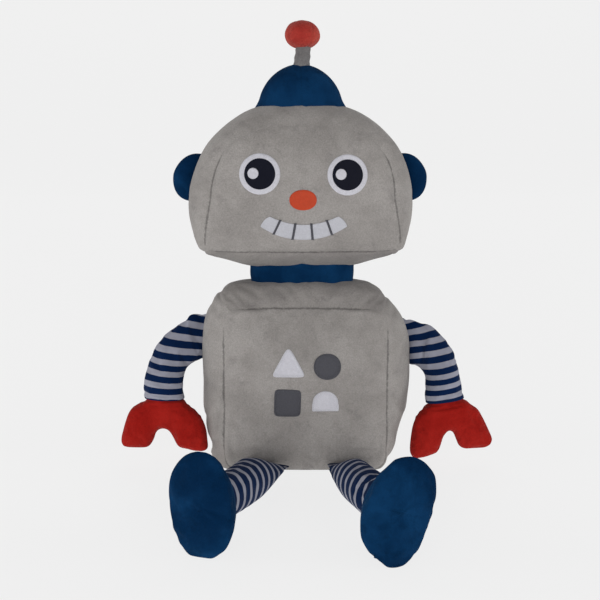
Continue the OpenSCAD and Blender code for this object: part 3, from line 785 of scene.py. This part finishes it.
SMILE_X, SMILE_HALF, SMILE_TURN = -1.8, 34.9, 27.2
TOOTH_LINES = ((-19, -24.6), (-6.9, -9.1), (5.8, 7.3), (18.3, 23))  # upper and lower ends


def smile_low(u):
    return 188.2 + 10.9 * (np.abs(u) / SMILE_HALF) ** 2.2


def smile_high(u):
    a = np.abs(u)
    end = 199.4 + 7.8 * np.maximum(0, 1 - (np.maximum(0, a - SMILE_TURN) / (
        SMILE_HALF - SMILE_TURN)) ** 1.7) ** 0.8
    return np.where(a < SMILE_TURN, 200.6 + 6.6 * (a / SMILE_TURN) ** 2, end)


def slab(tree, place, u, w, crown, lift):
    """Closed low block over a grid of (u, w), with its rim sunk into the cloth."""
    top = on_surface(tree, place, u, w, lift + crown)
    low = on_surface(tree, place, u, w, SUNK)
    rows, n = u.shape
    verts = np.vstack([top.reshape(-1, 3), low.reshape(-1, 3)])
    a = grid_faces(rows, n, False)
    s = rows * n
    faces = a + [[i + s for i in reversed(f)] for f in a]
    for j in range(n - 1):
        faces += [[j, j + 1, s + j + 1, s + j],
                  [s + (rows - 1) * n + j, s + (rows - 1) * n + j + 1,
                   (rows - 1) * n + j + 1, (rows - 1) * n + j]]
    for i in range(rows - 1):
        a, b = i * n, (i + 1) * n
        faces += [[a, s + a, s + b, b], [b + n - 1, s + b + n - 1, s + a + n - 1, a + n - 1]]
    return verts, outward(faces, verts)


def edge_crown(rows, n, height, power):
    """Height over a grid that falls off towards its four edges."""
    a = np.abs(np.linspace(-1, 1, rows))[:, None] ** power
    b = np.abs(np.linspace(-1, 1, n))[None] ** power
    return height * np.sqrt(np.maximum(0, (1 - a) * (1 - b)))


def make_smile(tree, place):
    f = 0.5 - 0.5 * np.cos(np.linspace(0, np.pi, 13))
    u = SMILE_HALF * np.sin(np.linspace(-np.pi / 2, np.pi / 2, 81))[:, None] + 0 * f
    w = mix(smile_low(u), smile_high(u), f)
    verts, faces = slab(tree, place, *face_spot(SMILE_X + u, w), edge_crown(81, 13, 0.7, 8), 0.25)
    yarn = np.vstack([stack(u, w, 0).reshape(-1, 3)] * 2)
    piece("smile_thread", verts, faces, TOOTH_WHITE, "head", ["smile"], thick=0,
          yarn=yarn)
    all_v, all_f, all_y = [], [], []
    for a, b in TOOTH_LINES:
        g = np.linspace(0, 1, 25)[:, None]
        c = np.linspace(-1.05, 1.05, 7)[None]
        u = mix(b, a, g) + c
        w = mix(smile_low(b) - 0.6, smile_high(a) + 0.8, g) + 0 * c
        verts, faces = slab(tree, place, *face_spot(SMILE_X + u, w), edge_crown(25, 7, 0.5, 4), 0.9)
        start = sum(len(v) for v in all_v)
        all_f += [[i + start for i in f] for f in faces]
        all_v.append(verts)
        all_y.append(np.vstack([stack(w, u, 0).reshape(-1, 3)] * 2))
    piece("tooth_stitches_thread", np.vstack(all_v), all_f, CHARCOAL, "head",
          ["tooth_stitches"], thick=0, yarn=np.vstack(all_y))


def make_patches(chest):
    tree = bvh(chest)
    shapes = {
        "triangle": ((-13.9, 84.8), badge([(-90, 8.1), (28.5, 8.8), (151.5, 8.8)], 15.6, 9), WHITE),
        "circle": ((17.7, 85.4), super_r(AROUND, 11.1, 10.7, 2.1), CHARCOAL),
        "square": ((-14.8, 55.3), badge([(-2, 10.9), (88, 11.3), (178, 10.9), (270, 11.2)],
                                        60, 7), CHARCOAL),
        "half_round": ((16.2, 54.5), badge([(-90, 5.9), (0, 10.9), (180, 10.9)],
                                              np.where(AROUND < 180, 10.8, 14.0), 22), WHITE),
    }
    for name, (at, radii, look) in shapes.items():
        stitch_disc(f"patch_{name}_cloth", tree, lean, at, radii, look, "torso",
                    border=1.6, radial=0.86, rim_up=0.35)


# ---- Neck ----

NECK_X, NECK_LOW, NECK_HIGH, NECK_HALF = -2.9, 148.0, 168.0, (43.2, 22.5)


def make_neck():
    f = np.linspace(0, 1, 15)[:, None]
    t = np.arange(120)[None] * 3.0
    r = super_r(t, *NECK_HALF, 3) * (1 + 0.03 * f)
    bulge = 0.4 * np.sin(np.pi * np.clip((f - 0.15) / 0.6, 0, 1))
    r = r + bulge + 0.25 * grain(stack(r * cosd(t), r * sind(t), 20 * f), 16, 3)
    low = NECK_LOW - 2.4 * np.abs(r * sind(t) / NECK_HALF[1]) ** 2.5
    verts = lean(stack(NECK_X + r * cosd(t), r * sind(t), mix(low, NECK_HIGH, f)))
    faces = grid_faces(15, 120, True)
    piece("neck_band_plush", verts.reshape(-1, 3), faces, NAVY, None,
          ["neck_band", "neck_filling"],
          blend=crossing("torso", "neck", lean([NECK_X, 0, 149]), lean([NECK_X, 0, 158])))


# ---- Ears and cap ----

def ear_pt(mirror, x, a):
    t = 10.8 if mirror > 0 else 169.2
    size = np.maximum(0, 1 - x ** 2.6) ** (1 / 2.2)
    root = head_pt(t + mirror * 13.2 * cosd(a), 0.08 + 0.19 * sind(a), -1.5)
    mid = head_pt(np.array(t), 0.08, -1.5)
    out = head_pt(np.array(t), 0.08, 0) - mid
    out /= np.linalg.norm(out)
    return mid + (root - mid) * size[..., None] + out * (18.1 * x)[..., None]


def make_ears():
    xs = np.sin(np.linspace(0, 1, 18) * np.pi / 2)
    for side, mirror in (("left", 1), ("right", -1)):
        a = np.arange(48) * 7.5
        rows = ear_pt(mirror, np.repeat(xs[:-1, None], 48, 1), np.repeat(a[None], 17, 0))
        tip = ear_pt(mirror, np.array([1.0]), np.array([0.0]))
        verts = np.vstack([rows.reshape(-1, 3), tip])
        faces = outward(grid_faces(17, 48, True) + fan(16 * 48, 48, 17 * 48), verts)
        seam = np.r_[np.tile(np.minimum(a % 180, 180 - a % 180) * 0.2, 17), 0.0]
        verts = sink(verts, normals_of(verts, faces), seam, 0.5, 1.2)
        piece(f"ear_{side}_plush", verts, faces, NAVY, "head",
              [f"ear_{side}_cover", f"ear_{side}_filling"], seam=seam + 1.0)


DOME_X, DOME_TOP = -4.6, 333.0


def dome_pt(x, a):
    mid = lean([DOME_X, 0, DOME_TOP - 38])
    root = head_pt(90 + 29 * cosd(a), 0.66 * sind(a), -0.8)
    top = lean([DOME_X, 0, DOME_TOP])
    axis = lean([0, 0, 1])
    low = (root - mid) @ axis
    flat = root - mid - axis * low[..., None]
    rise = (top - mid) @ axis
    shrink = (1 - 0.115 * np.minimum(1, x * 8) ** 0.7) * cosd(90 * x) ** 1.06
    return mid + flat * shrink[..., None] + axis * mix(low, rise, sind(90 * x))[..., None]


def make_dome():
    xs = np.r_[0, 0.02, 0.05, 0.09, np.linspace(0.14, 0.94, 17), 0.985]
    for side, first in (("right", -90.0), ("left", 90.0)):
        a = np.linspace(first, first + 180, 49)
        x, aa = np.meshgrid(xs, a, indexing="ij")
        verts = dome_pt(x, aa).reshape(-1, 3)
        faces = grid_faces(len(xs), 49, False)
        seam = np.minimum(np.abs(aa - first), np.abs(first + 180 - aa)) * 0.75 * np.maximum(
            0.2, cosd(90 * x))
        seam = np.minimum(seam, 60 * x).ravel()
        n = normals_of(verts, faces)
        if (n * (verts - lean([DOME_X, 0, 290]))).sum() < 0:
            faces = [f[::-1] for f in faces]
            n = -n
        verts = sink(verts, n, seam, 0.6, 1.4)
        nodes = [f"dome_{side}_panel"] + ["dome_filling"] * (side == "left")
        piece(f"dome_{side}_plush", verts, faces, NAVY, "head", nodes,
              seam=seam + 0.8)


# ---- Antenna ----

BALL, BALL_R = np.array([-2.6, 0, 357.0]), 14.8
STEM = np.array([-3.2, 0, 340.1])


def make_antenna():
    f = np.linspace(0, 1, 25)[:, None]
    t = np.arange(48)[None] * 7.5
    h = mix(-9.5, 12.0, f)
    r = 6.8 - 0.8 * f + 0.25 * np.sin(f * 21)
    r = r + 0.22 * grain(stack(r * cosd(t), r * sind(t), h), 7, 5)
    verts = lean(stack(STEM[0] - 0.3 + r * cosd(t) + 2.3 * f, r * sind(t), STEM[2] + h))
    piece("antenna_stem_plush", verts.reshape(-1, 3), grid_faces(25, 48, True), STEM_GREY, None,
          ["antenna_stem"],
          blend=crossing("head", "antenna", lean(STEM + [0, 0, -5]), lean(STEM + [0, 0, 3])))
    lat = np.linspace(-78, 90, 34)[:-1, None]
    gore = np.minimum(t % 90, 90 - t % 90)
    lon = t + 38
    seam = gore * np.pi / 180 * BALL_R * cosd(lat)
    r = 1 - 0.03 * np.exp(-(seam / 1.2) ** 2) - 0.05 * np.exp(-((lat + 78) / 9) ** 2)
    p = stack(BALL_R * cosd(lat) * cosd(lon) * r, BALL_R * cosd(lat) * sind(lon) * r,
              BALL_R * 0.81 * sind(lat) * r)
    p += 0.35 * grain(p, 11, 8)[..., None] * p / np.linalg.norm(p, axis=-1, keepdims=True)
    verts = np.vstack([lean(BALL + p).reshape(-1, 3), lean(BALL + [0, 0, BALL_R * 0.8])[None]])
    faces = outward(grid_faces(33, 48, True) + fan(32 * 48, 48, 33 * 48), verts)
    piece("antenna_ball_plush", verts, faces, BALL_RED, "antenna",
          ["antenna_ball_cover", "antenna_ball_filling"],
          seam=np.r_[seam.ravel(), 0.0])


# ---- Arms and hands ----

# Edges of each sleeve from the shoulder to the cuff, (side, height); the cuff's centre and tilt;
# the stripes' slope above and below the elbow, and their (height, pitch above it, pitch below it)
ARMS = {
    "left": dict(
        outer=[(83, 117.6), (90.5, 116.2), (98.7, 113.2), (107.7, 111.1), (115.2, 104.3),
               (122.5, 95.9), (128.5, 81.7), (130.7, 64.2), (132, 59.1), (134.6, 53.4)],
        inner=[(84, 79), (91, 78.6), (97.6, 77.6), (102.4, 71), (102.7, 63.8),
               (102.4, 54.8), (102.4, 48.4)],
        cuff=(118.6, 50.6), tilt=9.0, slope=(-14.0, -9.5), stripe=(77.0, 10.4, 8.3)),
    "right": dict(
        outer=[(-83, 121), (-97.1, 120.6), (-104, 115.6), (-113.4, 108.9), (-122.7, 101.1),
               (-128.8, 90.2), (-132.7, 79.6), (-135.5, 69.1), (-136.2, 53.0)],
        inner=[(-84, 84.6), (-91.3, 82.5), (-99, 80), (-103.2, 74.5), (-104.4, 67),
               (-103.8, 58.1), (-103, 51.7)],
        cuff=(-119.6, 52.4), tilt=0.0, slope=(11.5, 3.0), stripe=(88.9, 11.5, 9.4)),
}
# Cut of each hand from the cuff's middle, (across, along)
HANDS = {
    "left": [(-16.4, 0), (-22, -4.3), (-26.1, -8.6), (-29.8, -16), (-32.5, -25.5),
             (-34.7, -36), (-34, -41.5), (-30.9, -44.6), (-23.4, -44.5), (-14.4, -42.8),
             (-11, -40.2), (-8.5, -35.6), (-5.9, -29.7), (-2.8, -26.2), (0, -25.1),
             (2.3, -27.4), (3.6, -33.1), (5.2, -39), (9.5, -42.6), (17.2, -43.6),
             (26.6, -44.3), (31, -42.4), (33.3, -37.8), (31.3, -29.4), (28.3, -19),
             (25.1, -10.5), (20.3, -5.2), (16.4, 0)],
    "right": [(-16.6, 0), (-21, -2.8), (-26.2, -6.3), (-29.8, -11.6), (-32.2, -18.7),
              (-34, -25.8), (-35.6, -32.8), (-35.3, -37.8), (-32.1, -40.8), (-25.2, -41.4),
              (-15.5, -41.2), (-11.7, -39.1), (-8.5, -33.8), (-6.8, -28.4), (-4.5, -25.6),
              (-1, -24.7), (2.5, -25.8), (5, -28.8), (7.1, -33.3), (9.2, -38.2),
              (12.4, -41.3), (18, -42.6), (24, -44.2), (31.3, -44.4), (35.2, -41.4),
              (35.1, -33.8), (34.5, -25.8), (32.5, -18.7), (29.1, -12.5), (23.9, -7.2),
              (18.7, -2.8), (16.6, 0)],
}
ARM_FORWARD, CUFF_DEPTH = -24.0, 11.6
CUFF_TUCK = np.array([0.985, 0.93])  # the sleeve's last two rings, inside the hand
HAND_FULL, WRIST = (1.05, 1.03), 0.86  # growth of the cut, and its width inside the sleeve


def arm_stripe(arm, u, w):
    """Count of stripes below the one at the knee height; they tilt with the sleeve."""
    high, low = arm["slope"]
    k = np.tan(np.radians(mix(low, high, smooth(w, 52, 84))))
    sideways = u - arm["cuff"][0]
    knee, high_pitch, low_pitch = arm["stripe"]
    below = knee - (w + k * sideways)
    return below / np.where(below < 0, high_pitch, low_pitch)


def make_sleeve(side):
    arm = ARMS[side]
    t = np.linspace(0, 1, 46)
    outer, inner = spline(arm["outer"], t), spline(arm["inner"], t)
    mid, half = (outer + inner) / 2, (outer - inner) / 2
    half *= 1 + 0.7 / np.linalg.norm(half, axis=1, keepdims=True)
    a = np.arange(56) * 360 / 56
    depth = mix(1.6, 12.6, smooth(t, -0.02, 0.42) ** 0.8) - 1.0 * smooth(t, 0.7, 1)
    half[-2:] *= CUFF_TUCK[:, None]
    depth[-2:] *= CUFF_TUCK
    u, w = mid[:, :1] + half[:, :1] * cosd(a), mid[:, 1:] + half[:, 1:] * cosd(a)
    v = (ARM_FORWARD * smooth(t, 0.05, 1.0))[:, None] + depth[:, None] * sind(a)
    target = lean(stack(u, v, w)).reshape(-1, 3)
    ends = lean([[mid[0][0], 0, mid[0][1]], [mid[-1][0], ARM_FORWARD, mid[-1][1]]])
    verts, faces, n = tube(target, 56, ends, 1, 2.0)
    # The soft bend gathers a few creases on its inner side and above the cuff
    crease = grain(np.stack([t.repeat(56) * 95, np.tile(cosd(a), 46) * 14,
                             np.tile(sind(a), 46) * 14], -1), 17, 11 if side == "left" else 12)
    near = np.exp(-((t - 0.83) / 0.1) ** 2) + 0.6 * np.exp(-((t - 0.2) / 0.12) ** 2)
    verts = verts - n * (0.7 * near.repeat(56) * crease)[:, None]
    out = 1 if side == "left" else -1
    piece(f"arm_{side}_jersey", verts, faces, JERSEY, None,
          [f"arm_{side}_sleeve", f"arm_{side}_filling"], thick=1.0,
          yarn=stack(u, w, 0).reshape(-1, 3), stripe=arm_stripe(arm, u, w).ravel(), rest=target,
          blend=crossing("torso", f"arm_{side}", lean([83 * out, 0, 100]),
                         lean([105 * out, 0, 92])))


def flat_pillow(outline, step, thick, extra):
    """Front and back of a cushion cut to a flat outline: points (p, q, side height) and faces.

    extra continues the cut past the open edge at q = 0, so that it stays round there."""
    fine = spline(outline, np.linspace(0, 1, int(260 / step)))
    wall = [(fine[-1][0], q) for q in np.arange(step, extra, step)]
    lid = [(x, extra) for x in np.arange(fine[-1][0], fine[0][0], -step)]
    back = [(fine[0][0], q) for q in np.arange(extra, 0.1, -step)]
    loop = np.vstack([fine, wall, lid, back])
    keep = [0]
    for i in range(1, len(loop)):
        if np.linalg.norm(loop[i] - loop[keep[-1]]) > step * 0.55:
            keep.append(i)
    if np.linalg.norm(loop[keep[-1]] - loop[0]) < step * 0.5:
        keep.pop()
    loop = loop[keep]
    n = len(loop)
    low, high = loop.min(0), loop.max(0)
    inside = []
    for row, y in enumerate(np.arange(low[1], high[1], step * 0.87)):
        for x in np.arange(low[0] + (row % 2) * step / 2, high[0], step):
            d = np.linalg.norm(loop - [x, y], axis=1).min()
            if d > step * 0.62 and in_loop(loop, x, y):
                inside.append((x, y))
    pts = [Vector(p) for p in np.vstack([loop, inside]).tolist()]
    out = delaunay_2d_cdt(pts, [(i, (i + 1) % n) for i in range(n)], [], 1, 1e-5)
    verts = np.array([list(v) for v in out[0]])
    on_rim = np.array([np.linalg.norm(loop - v, axis=1).min() for v in verts]) < 1e-3
    tris = [list(f) for f in out[2] if not all(on_rim[i] for i in f)]
    edges = edges_of(tris)
    phi = np.zeros(len(verts))  # settles like a soap film over the outline
    degree = np.bincount(edges.ravel(), minlength=len(verts))
    for _ in range(900):
        total = np.bincount(edges[:, 0], phi[edges[:, 1]], len(verts)) + np.bincount(
            edges[:, 1], phi[edges[:, 0]], len(verts))
        phi = total / np.maximum(degree, 1) + 1.0
        phi[on_rim] = 0
    height = np.sqrt(phi)
    return verts, tris, on_rim, thick * (height / height.max()) ** 0.9


def in_loop(loop, x, y):
    """Whether a point lies inside a closed outline."""
    a, b = loop, np.roll(loop, -1, 0)
    cross = (a[:, 1] > y) != (b[:, 1] > y)
    with np.errstate(divide="ignore", invalid="ignore"):
        at = a[:, 0] + (y - a[:, 1]) / (b[:, 1] - a[:, 1]) * (b[:, 0] - a[:, 0])
    return bool((cross & (x < at)).sum() % 2)


def make_hand(side):
    arm = ARMS[side]
    flat, tris, on_rim, h = flat_pillow(np.array(HANDS[side]) * HAND_FULL, 2.2, CUFF_DEPTH, 9.0)
    n = len(flat)
    inner = np.where(~on_rim)[0]
    twin = np.arange(n)
    twin[inner] = n + np.arange(len(inner))
    pq = np.vstack([flat, flat[inner]])
    v = np.r_[-h, h[inner]]
    faces = tris + [[int(twin[i]) for i in reversed(f)] for f in tris]
    front = np.arange(len(faces)) < len(tris)
    shrink = np.where(pq[:, 1] > -1.0, WRIST, 1.0)
    p, q = pq[:, 0] * shrink, pq[:, 1]
    a = arm["tilt"]
    place = stack(arm["cuff"][0] + p * cosd(a) - q * sind(a), ARM_FORWARD + v * shrink,
                  arm["cuff"][1] + p * sind(a) + q * cosd(a))
    target = on_floor(lean(place))
    faces = outward(faces, target)
    nrm = normals_of(target, faces)
    seams = np.where(on_rim)[0]
    verts = puff(target - 0.5 * nrm, target, faces, seams, cap=1.6, grow=0.06)
    seam = near_seams(target, [s for s in seams if flat[s][1] < 0.5])
    verts = sink(verts, nrm, seam, 0.4, 1.4)
    for part, keep in (("front", front), ("back", ~front)):
        chosen, used = take(faces, keep)
        nodes = [f"hand_{side}_{part}"] + [f"hand_{side}_filling"] * (part == "front")
        piece(f"hand_{side}_{part}_plush", verts[used], chosen, RED, f"arm_{side}", nodes,
              seam=seam[used], rest=target[used])


# ---- Legs and feet ----

# Middle line of each sleeve; the sole's centre, roll and tip in degrees, half sizes and outline
# for wavy(); the heel's centre
LEGS = {
    "left": dict(line=[(35.5, -51, 9), (36, -98, 17.5), (49, -143, 26.5)],
                 sole=(64.2, -192, 37.2), roll=-24, tip=15, half=(21.8, 39.8), heel=(60, -160, 26),
                 shape=(1.055, 0.01, 0.003, 0.07, 0.029, -0.024, 0.022, -0.025, -0.016)),
    "right": dict(line=[(-31.5, -51, 9), (-41, -96, 18), (-57.5, -141, 26.5)],
                  sole=(-72.3, -184, 37.8), roll=6, tip=8, half=(22, 38.2), heel=(-69, -154, 26),
                  shape=(1.07, -0.076, 0.018, 0.029, -0.008, -0.014, 0.006, -0.016, 0.015)),
}
LEG_PITCH, LEG_NAVY = 12.0, 0.06  # of the stripes, and their extra share of navy


def bezier(p, t):
    p = np.asarray(p, float)
    t = np.asarray(t)[..., None]
    return p[0] * (1 - t) ** 2 + p[1] * 2 * t * (1 - t) + p[2] * t * t


def make_leg(side):
    leg = LEGS[side]
    p = np.asarray(leg["line"], float)
    t = np.linspace(-0.06, 1.28, 50)
    d = (p[1] - p[0]) * (1 - t[:, None]) + (p[2] - p[1]) * t[:, None]
    d /= np.linalg.norm(d, axis=1, keepdims=True)
    across = np.cross([0, 0, 1.0], d)
    across /= np.linalg.norm(across, axis=1, keepdims=True)
    up = np.cross(d, across)
    a = np.arange(48) * 7.5
    wide = mix(17.0, 13.9, t)
    high = 1.5 + 15.1 * sind(90 * np.clip(t * 1.7, 0, 1)) ** 1.2
    line = bezier(p, t)
    verts = (line[:, None] + across[:, None] * (wide[:, None] * cosd(a))[..., None]
             + up[:, None] * (high[:, None] * sind(a))[..., None]).reshape(-1, 3)
    on_floor(verts, 0.6)
    out, faces, _ = tube(verts, 48, line[[0, -1]], 2, 1.6)
    on_floor(out)
    length = np.r_[0, np.cumsum(np.linalg.norm(np.diff(line, axis=0), axis=1))]
    stripe = ((length[:, None] + 0 * a) / LEG_PITCH).ravel()
    yarn = stack(np.radians(a) * 17 + 0 * t[:, None], length[:, None], LEG_NAVY).reshape(-1, 3)
    piece(f"leg_{side}_jersey", out, faces, JERSEY, None,
          [f"leg_{side}_sleeve", f"leg_{side}_filling"], thick=1.0,
          yarn=yarn, stripe=stripe, rest=verts,
          blend=crossing("torso", f"leg_{side}", p[0] + [0, 2, 0], p[0] + [0, -24, 0]))


def wavy(coefficients, a):
    """Round outline: a mean radius and then cosine and sine shares of 1, 2, 3... waves."""
    out = coefficients[0] + 0 * a
    for k in range(1, len(coefficients) // 2 + 1):
        out = out + coefficients[2 * k - 1] * cosd(k * a) + coefficients[2 * k] * sind(k * a)
    return out


def foot_frame(leg):
    """The sole's own axes: across, up and out of it."""
    d = np.array(leg["sole"]) - np.array(leg["line"][0])
    flat = np.array([d[0], d[1], 0]) / math.hypot(d[0], d[1])
    out = flat * cosd(leg["tip"]) + np.array([0, 0, sind(leg["tip"])])
    across = np.array([-flat[1], flat[0], 0])
    up = -np.cross(out, across)
    a = leg["roll"]
    return across * cosd(a) - up * sind(a), up * cosd(a) + across * sind(a), out


HEEL_R, SOLE_SWELL = 17.2, 6


def make_foot(side):
    leg = LEGS[side]
    fr = foot_frame(leg)
    a = np.arange(72) * 5.0
    half, centre = leg["half"], np.array(leg["sole"], float)
    heel = np.array(leg["heel"], float)
    shape = wavy(leg["shape"], a)

    def ring(c, hx, hy, cut):
        k = mix(1, shape, cut)
        return c + fr[0] * (hx * k * cosd(a))[:, None] + fr[1] * (hy * k * sind(a))[:, None]

    rows = []
    f = np.r_[0, 0.03, 0.07, np.linspace(0.12, 1, 20)]
    for x in f:
        grow, swell = x ** 0.5, 0.8 * sind(180 * x ** 0.8)
        tuck = 1 - 0.08 * math.exp(-(x / 0.03) ** 2)
        rows.append(ring(mix(heel, centre, x), (mix(HEEL_R, half[0], grow) + swell) * tuck,
                         (mix(HEEL_R, half[1], grow) + swell) * tuck, grow))
    ks = np.r_[0.985, 0.95, np.linspace(0.9, 0.1, 14)]
    for x in ks:
        rows.append(ring(centre + fr[2] * (SOLE_SWELL * (1 - x ** 2.5)), half[0] * x,
                         half[1] * x, 1))
    verts = np.vstack(rows + [(centre + fr[2] * SOLE_SWELL)[None]])
    on_floor(verts)
    end = len(rows) * 72
    fixed = outward(grid_faces(len(rows), 72, True) + fan(end - 72, 72, end), verts)
    is_sole = np.array([min(g) >= (len(f) - 1) * 72 for g in fixed])
    n = normals_of(verts, fixed)
    seams = (len(f) - 1) * 72 + np.arange(72)
    pins = np.r_[np.arange(72), seams]
    out = puff(verts - 0.8 * n, verts, fixed, pins, cap=2.0)
    seam = near_seams(verts, seams)
    out = on_floor(sink(out, n, seam, 0.5, 1.4), 0.4)
    for part, keep in (("sole", is_sole), ("upper", ~is_sole)):
        chosen, used = take(fixed, keep)
        nodes = [f"foot_{side}_{part}"] + [f"foot_{side}_filling"] * (part == "sole")
        piece(f"foot_{side}_{part}_plush", out[used], chosen, NAVY, f"leg_{side}", nodes,
              seam=seam[used] + 1.2, rest=verts[used])


# ---- Floor, light and camera ----

FLOOR_COLOUR, FLOOR_GLOW = rgb("#5c5c5c"), 0.795
SKY = (0.62, 0.1)       # strength of the surrounding light at the horizon and overhead
LIGHTS = (              # place, size and power of each soft light
    ("key", (-0.8, -2.0, 0.42), 1.3, 18.5),
    ("fill", (0.9, -2.0, 0.36), 1.3, 13.5),
    ("left", (-1.7, -0.1, 0.55), 1.0, 7),
    ("right", (1.7, -0.1, 0.55), 1.0, 7),
)


def make_stage():
    """A floor that curves up into a back wall."""
    turn = np.linspace(0.12, math.pi / 2, 12)
    y = np.r_[np.linspace(-2.5, 1.4, 14), 1.4 + 0.8 * np.sin(turn), 2.2, 2.2]
    z = np.r_[np.zeros(14), 0.8 - 0.8 * np.cos(turn), 1.6, 4.0]
    me = bpy.data.meshes.new("floor")
    me.from_pydata([(x, b, c) for x in (-4.0, 4.0) for b, c in zip(y, z)], [],
                   [[i, i + len(y), i + len(y) + 1, i + 1] for i in range(len(y) - 1)])
    ob = bpy.data.objects.new("floor", me)
    SCENE.collection.objects.link(ob)
    me.shade_smooth()
    k = Look("pale_floor")
    tone = k.blend(k.math("MULTIPLY", node(k.tree, "TexNoise", {"Scale": 3.0}).outputs[0], 0.06),
                   FLOOR_COLOUR, rgb("#595959"))
    shader = node(k.tree, "BsdfPrincipled", {
        "Base Color": tone, "Roughness": 0.9, "Specular IOR Level": 0.1,
        "Emission Color": (1, 1, 1, 1), "Emission Strength": FLOOR_GLOW})
    node(k.tree, "OutputMaterial", {"Surface": shader.outputs[0]})
    me.materials.append(k.material)


def make_lights():
    world = bpy.data.worlds.new("studio")
    world.use_nodes = True
    tree = world.node_tree
    at = node(tree, "TexCoord").outputs["Generated"]
    up = node(tree, "SeparateXYZ", {0: at}).outputs[2]
    power = node(tree, "MapRange", {"Value": up, "From Min": 0.0, "From Max": 0.9,
                                    "To Min": SKY[0], "To Max": SKY[1]}).outputs[0]
    tree.links.new(power, tree.nodes["Background"].inputs["Strength"])
    tree.nodes["Background"].inputs["Color"].default_value = (1, 1, 1, 1)
    SCENE.world = world
    for name, at, size, power in LIGHTS:
        data = bpy.data.lights.new(name, "AREA")
        data.shape, data.size, data.energy = "DISK", size, power
        ob = bpy.data.objects.new(name, data)
        SCENE.collection.objects.link(ob)
        ob.location = at
        away = Vector((0, 0, 0.17)) - Vector(at)
        ob.rotation_euler = away.to_track_quat("-Z", "Y").to_euler()


CAMERA_AT, CAMERA_DOWN = (-0.0046, -0.850, 0.360), 14.68


def make_camera():
    cam = bpy.data.objects.new("camera", bpy.data.cameras.new("camera"))
    SCENE.collection.objects.link(cam)
    cam.location = CAMERA_AT
    cam.rotation_euler = (math.radians(90 - CAMERA_DOWN), 0, 0)
    cam.data.sensor_width, cam.data.lens = 36.0, 62.59
    cam.data.clip_start = 0.02
    SCENE.camera = cam
    SCENE.view_settings.view_transform = "Standard"


make_camera()
make_stage()
make_lights()
torso = make_torso()
head = make_head()
make_face(head["face_plush"])
make_patches(torso["chest_panel_plush"])
make_neck()
make_ears()
make_dome()
make_antenna()
for side in ("left", "right"):
    make_sleeve(side)
    make_hand(side)
    make_leg(side)
    make_foot(side)
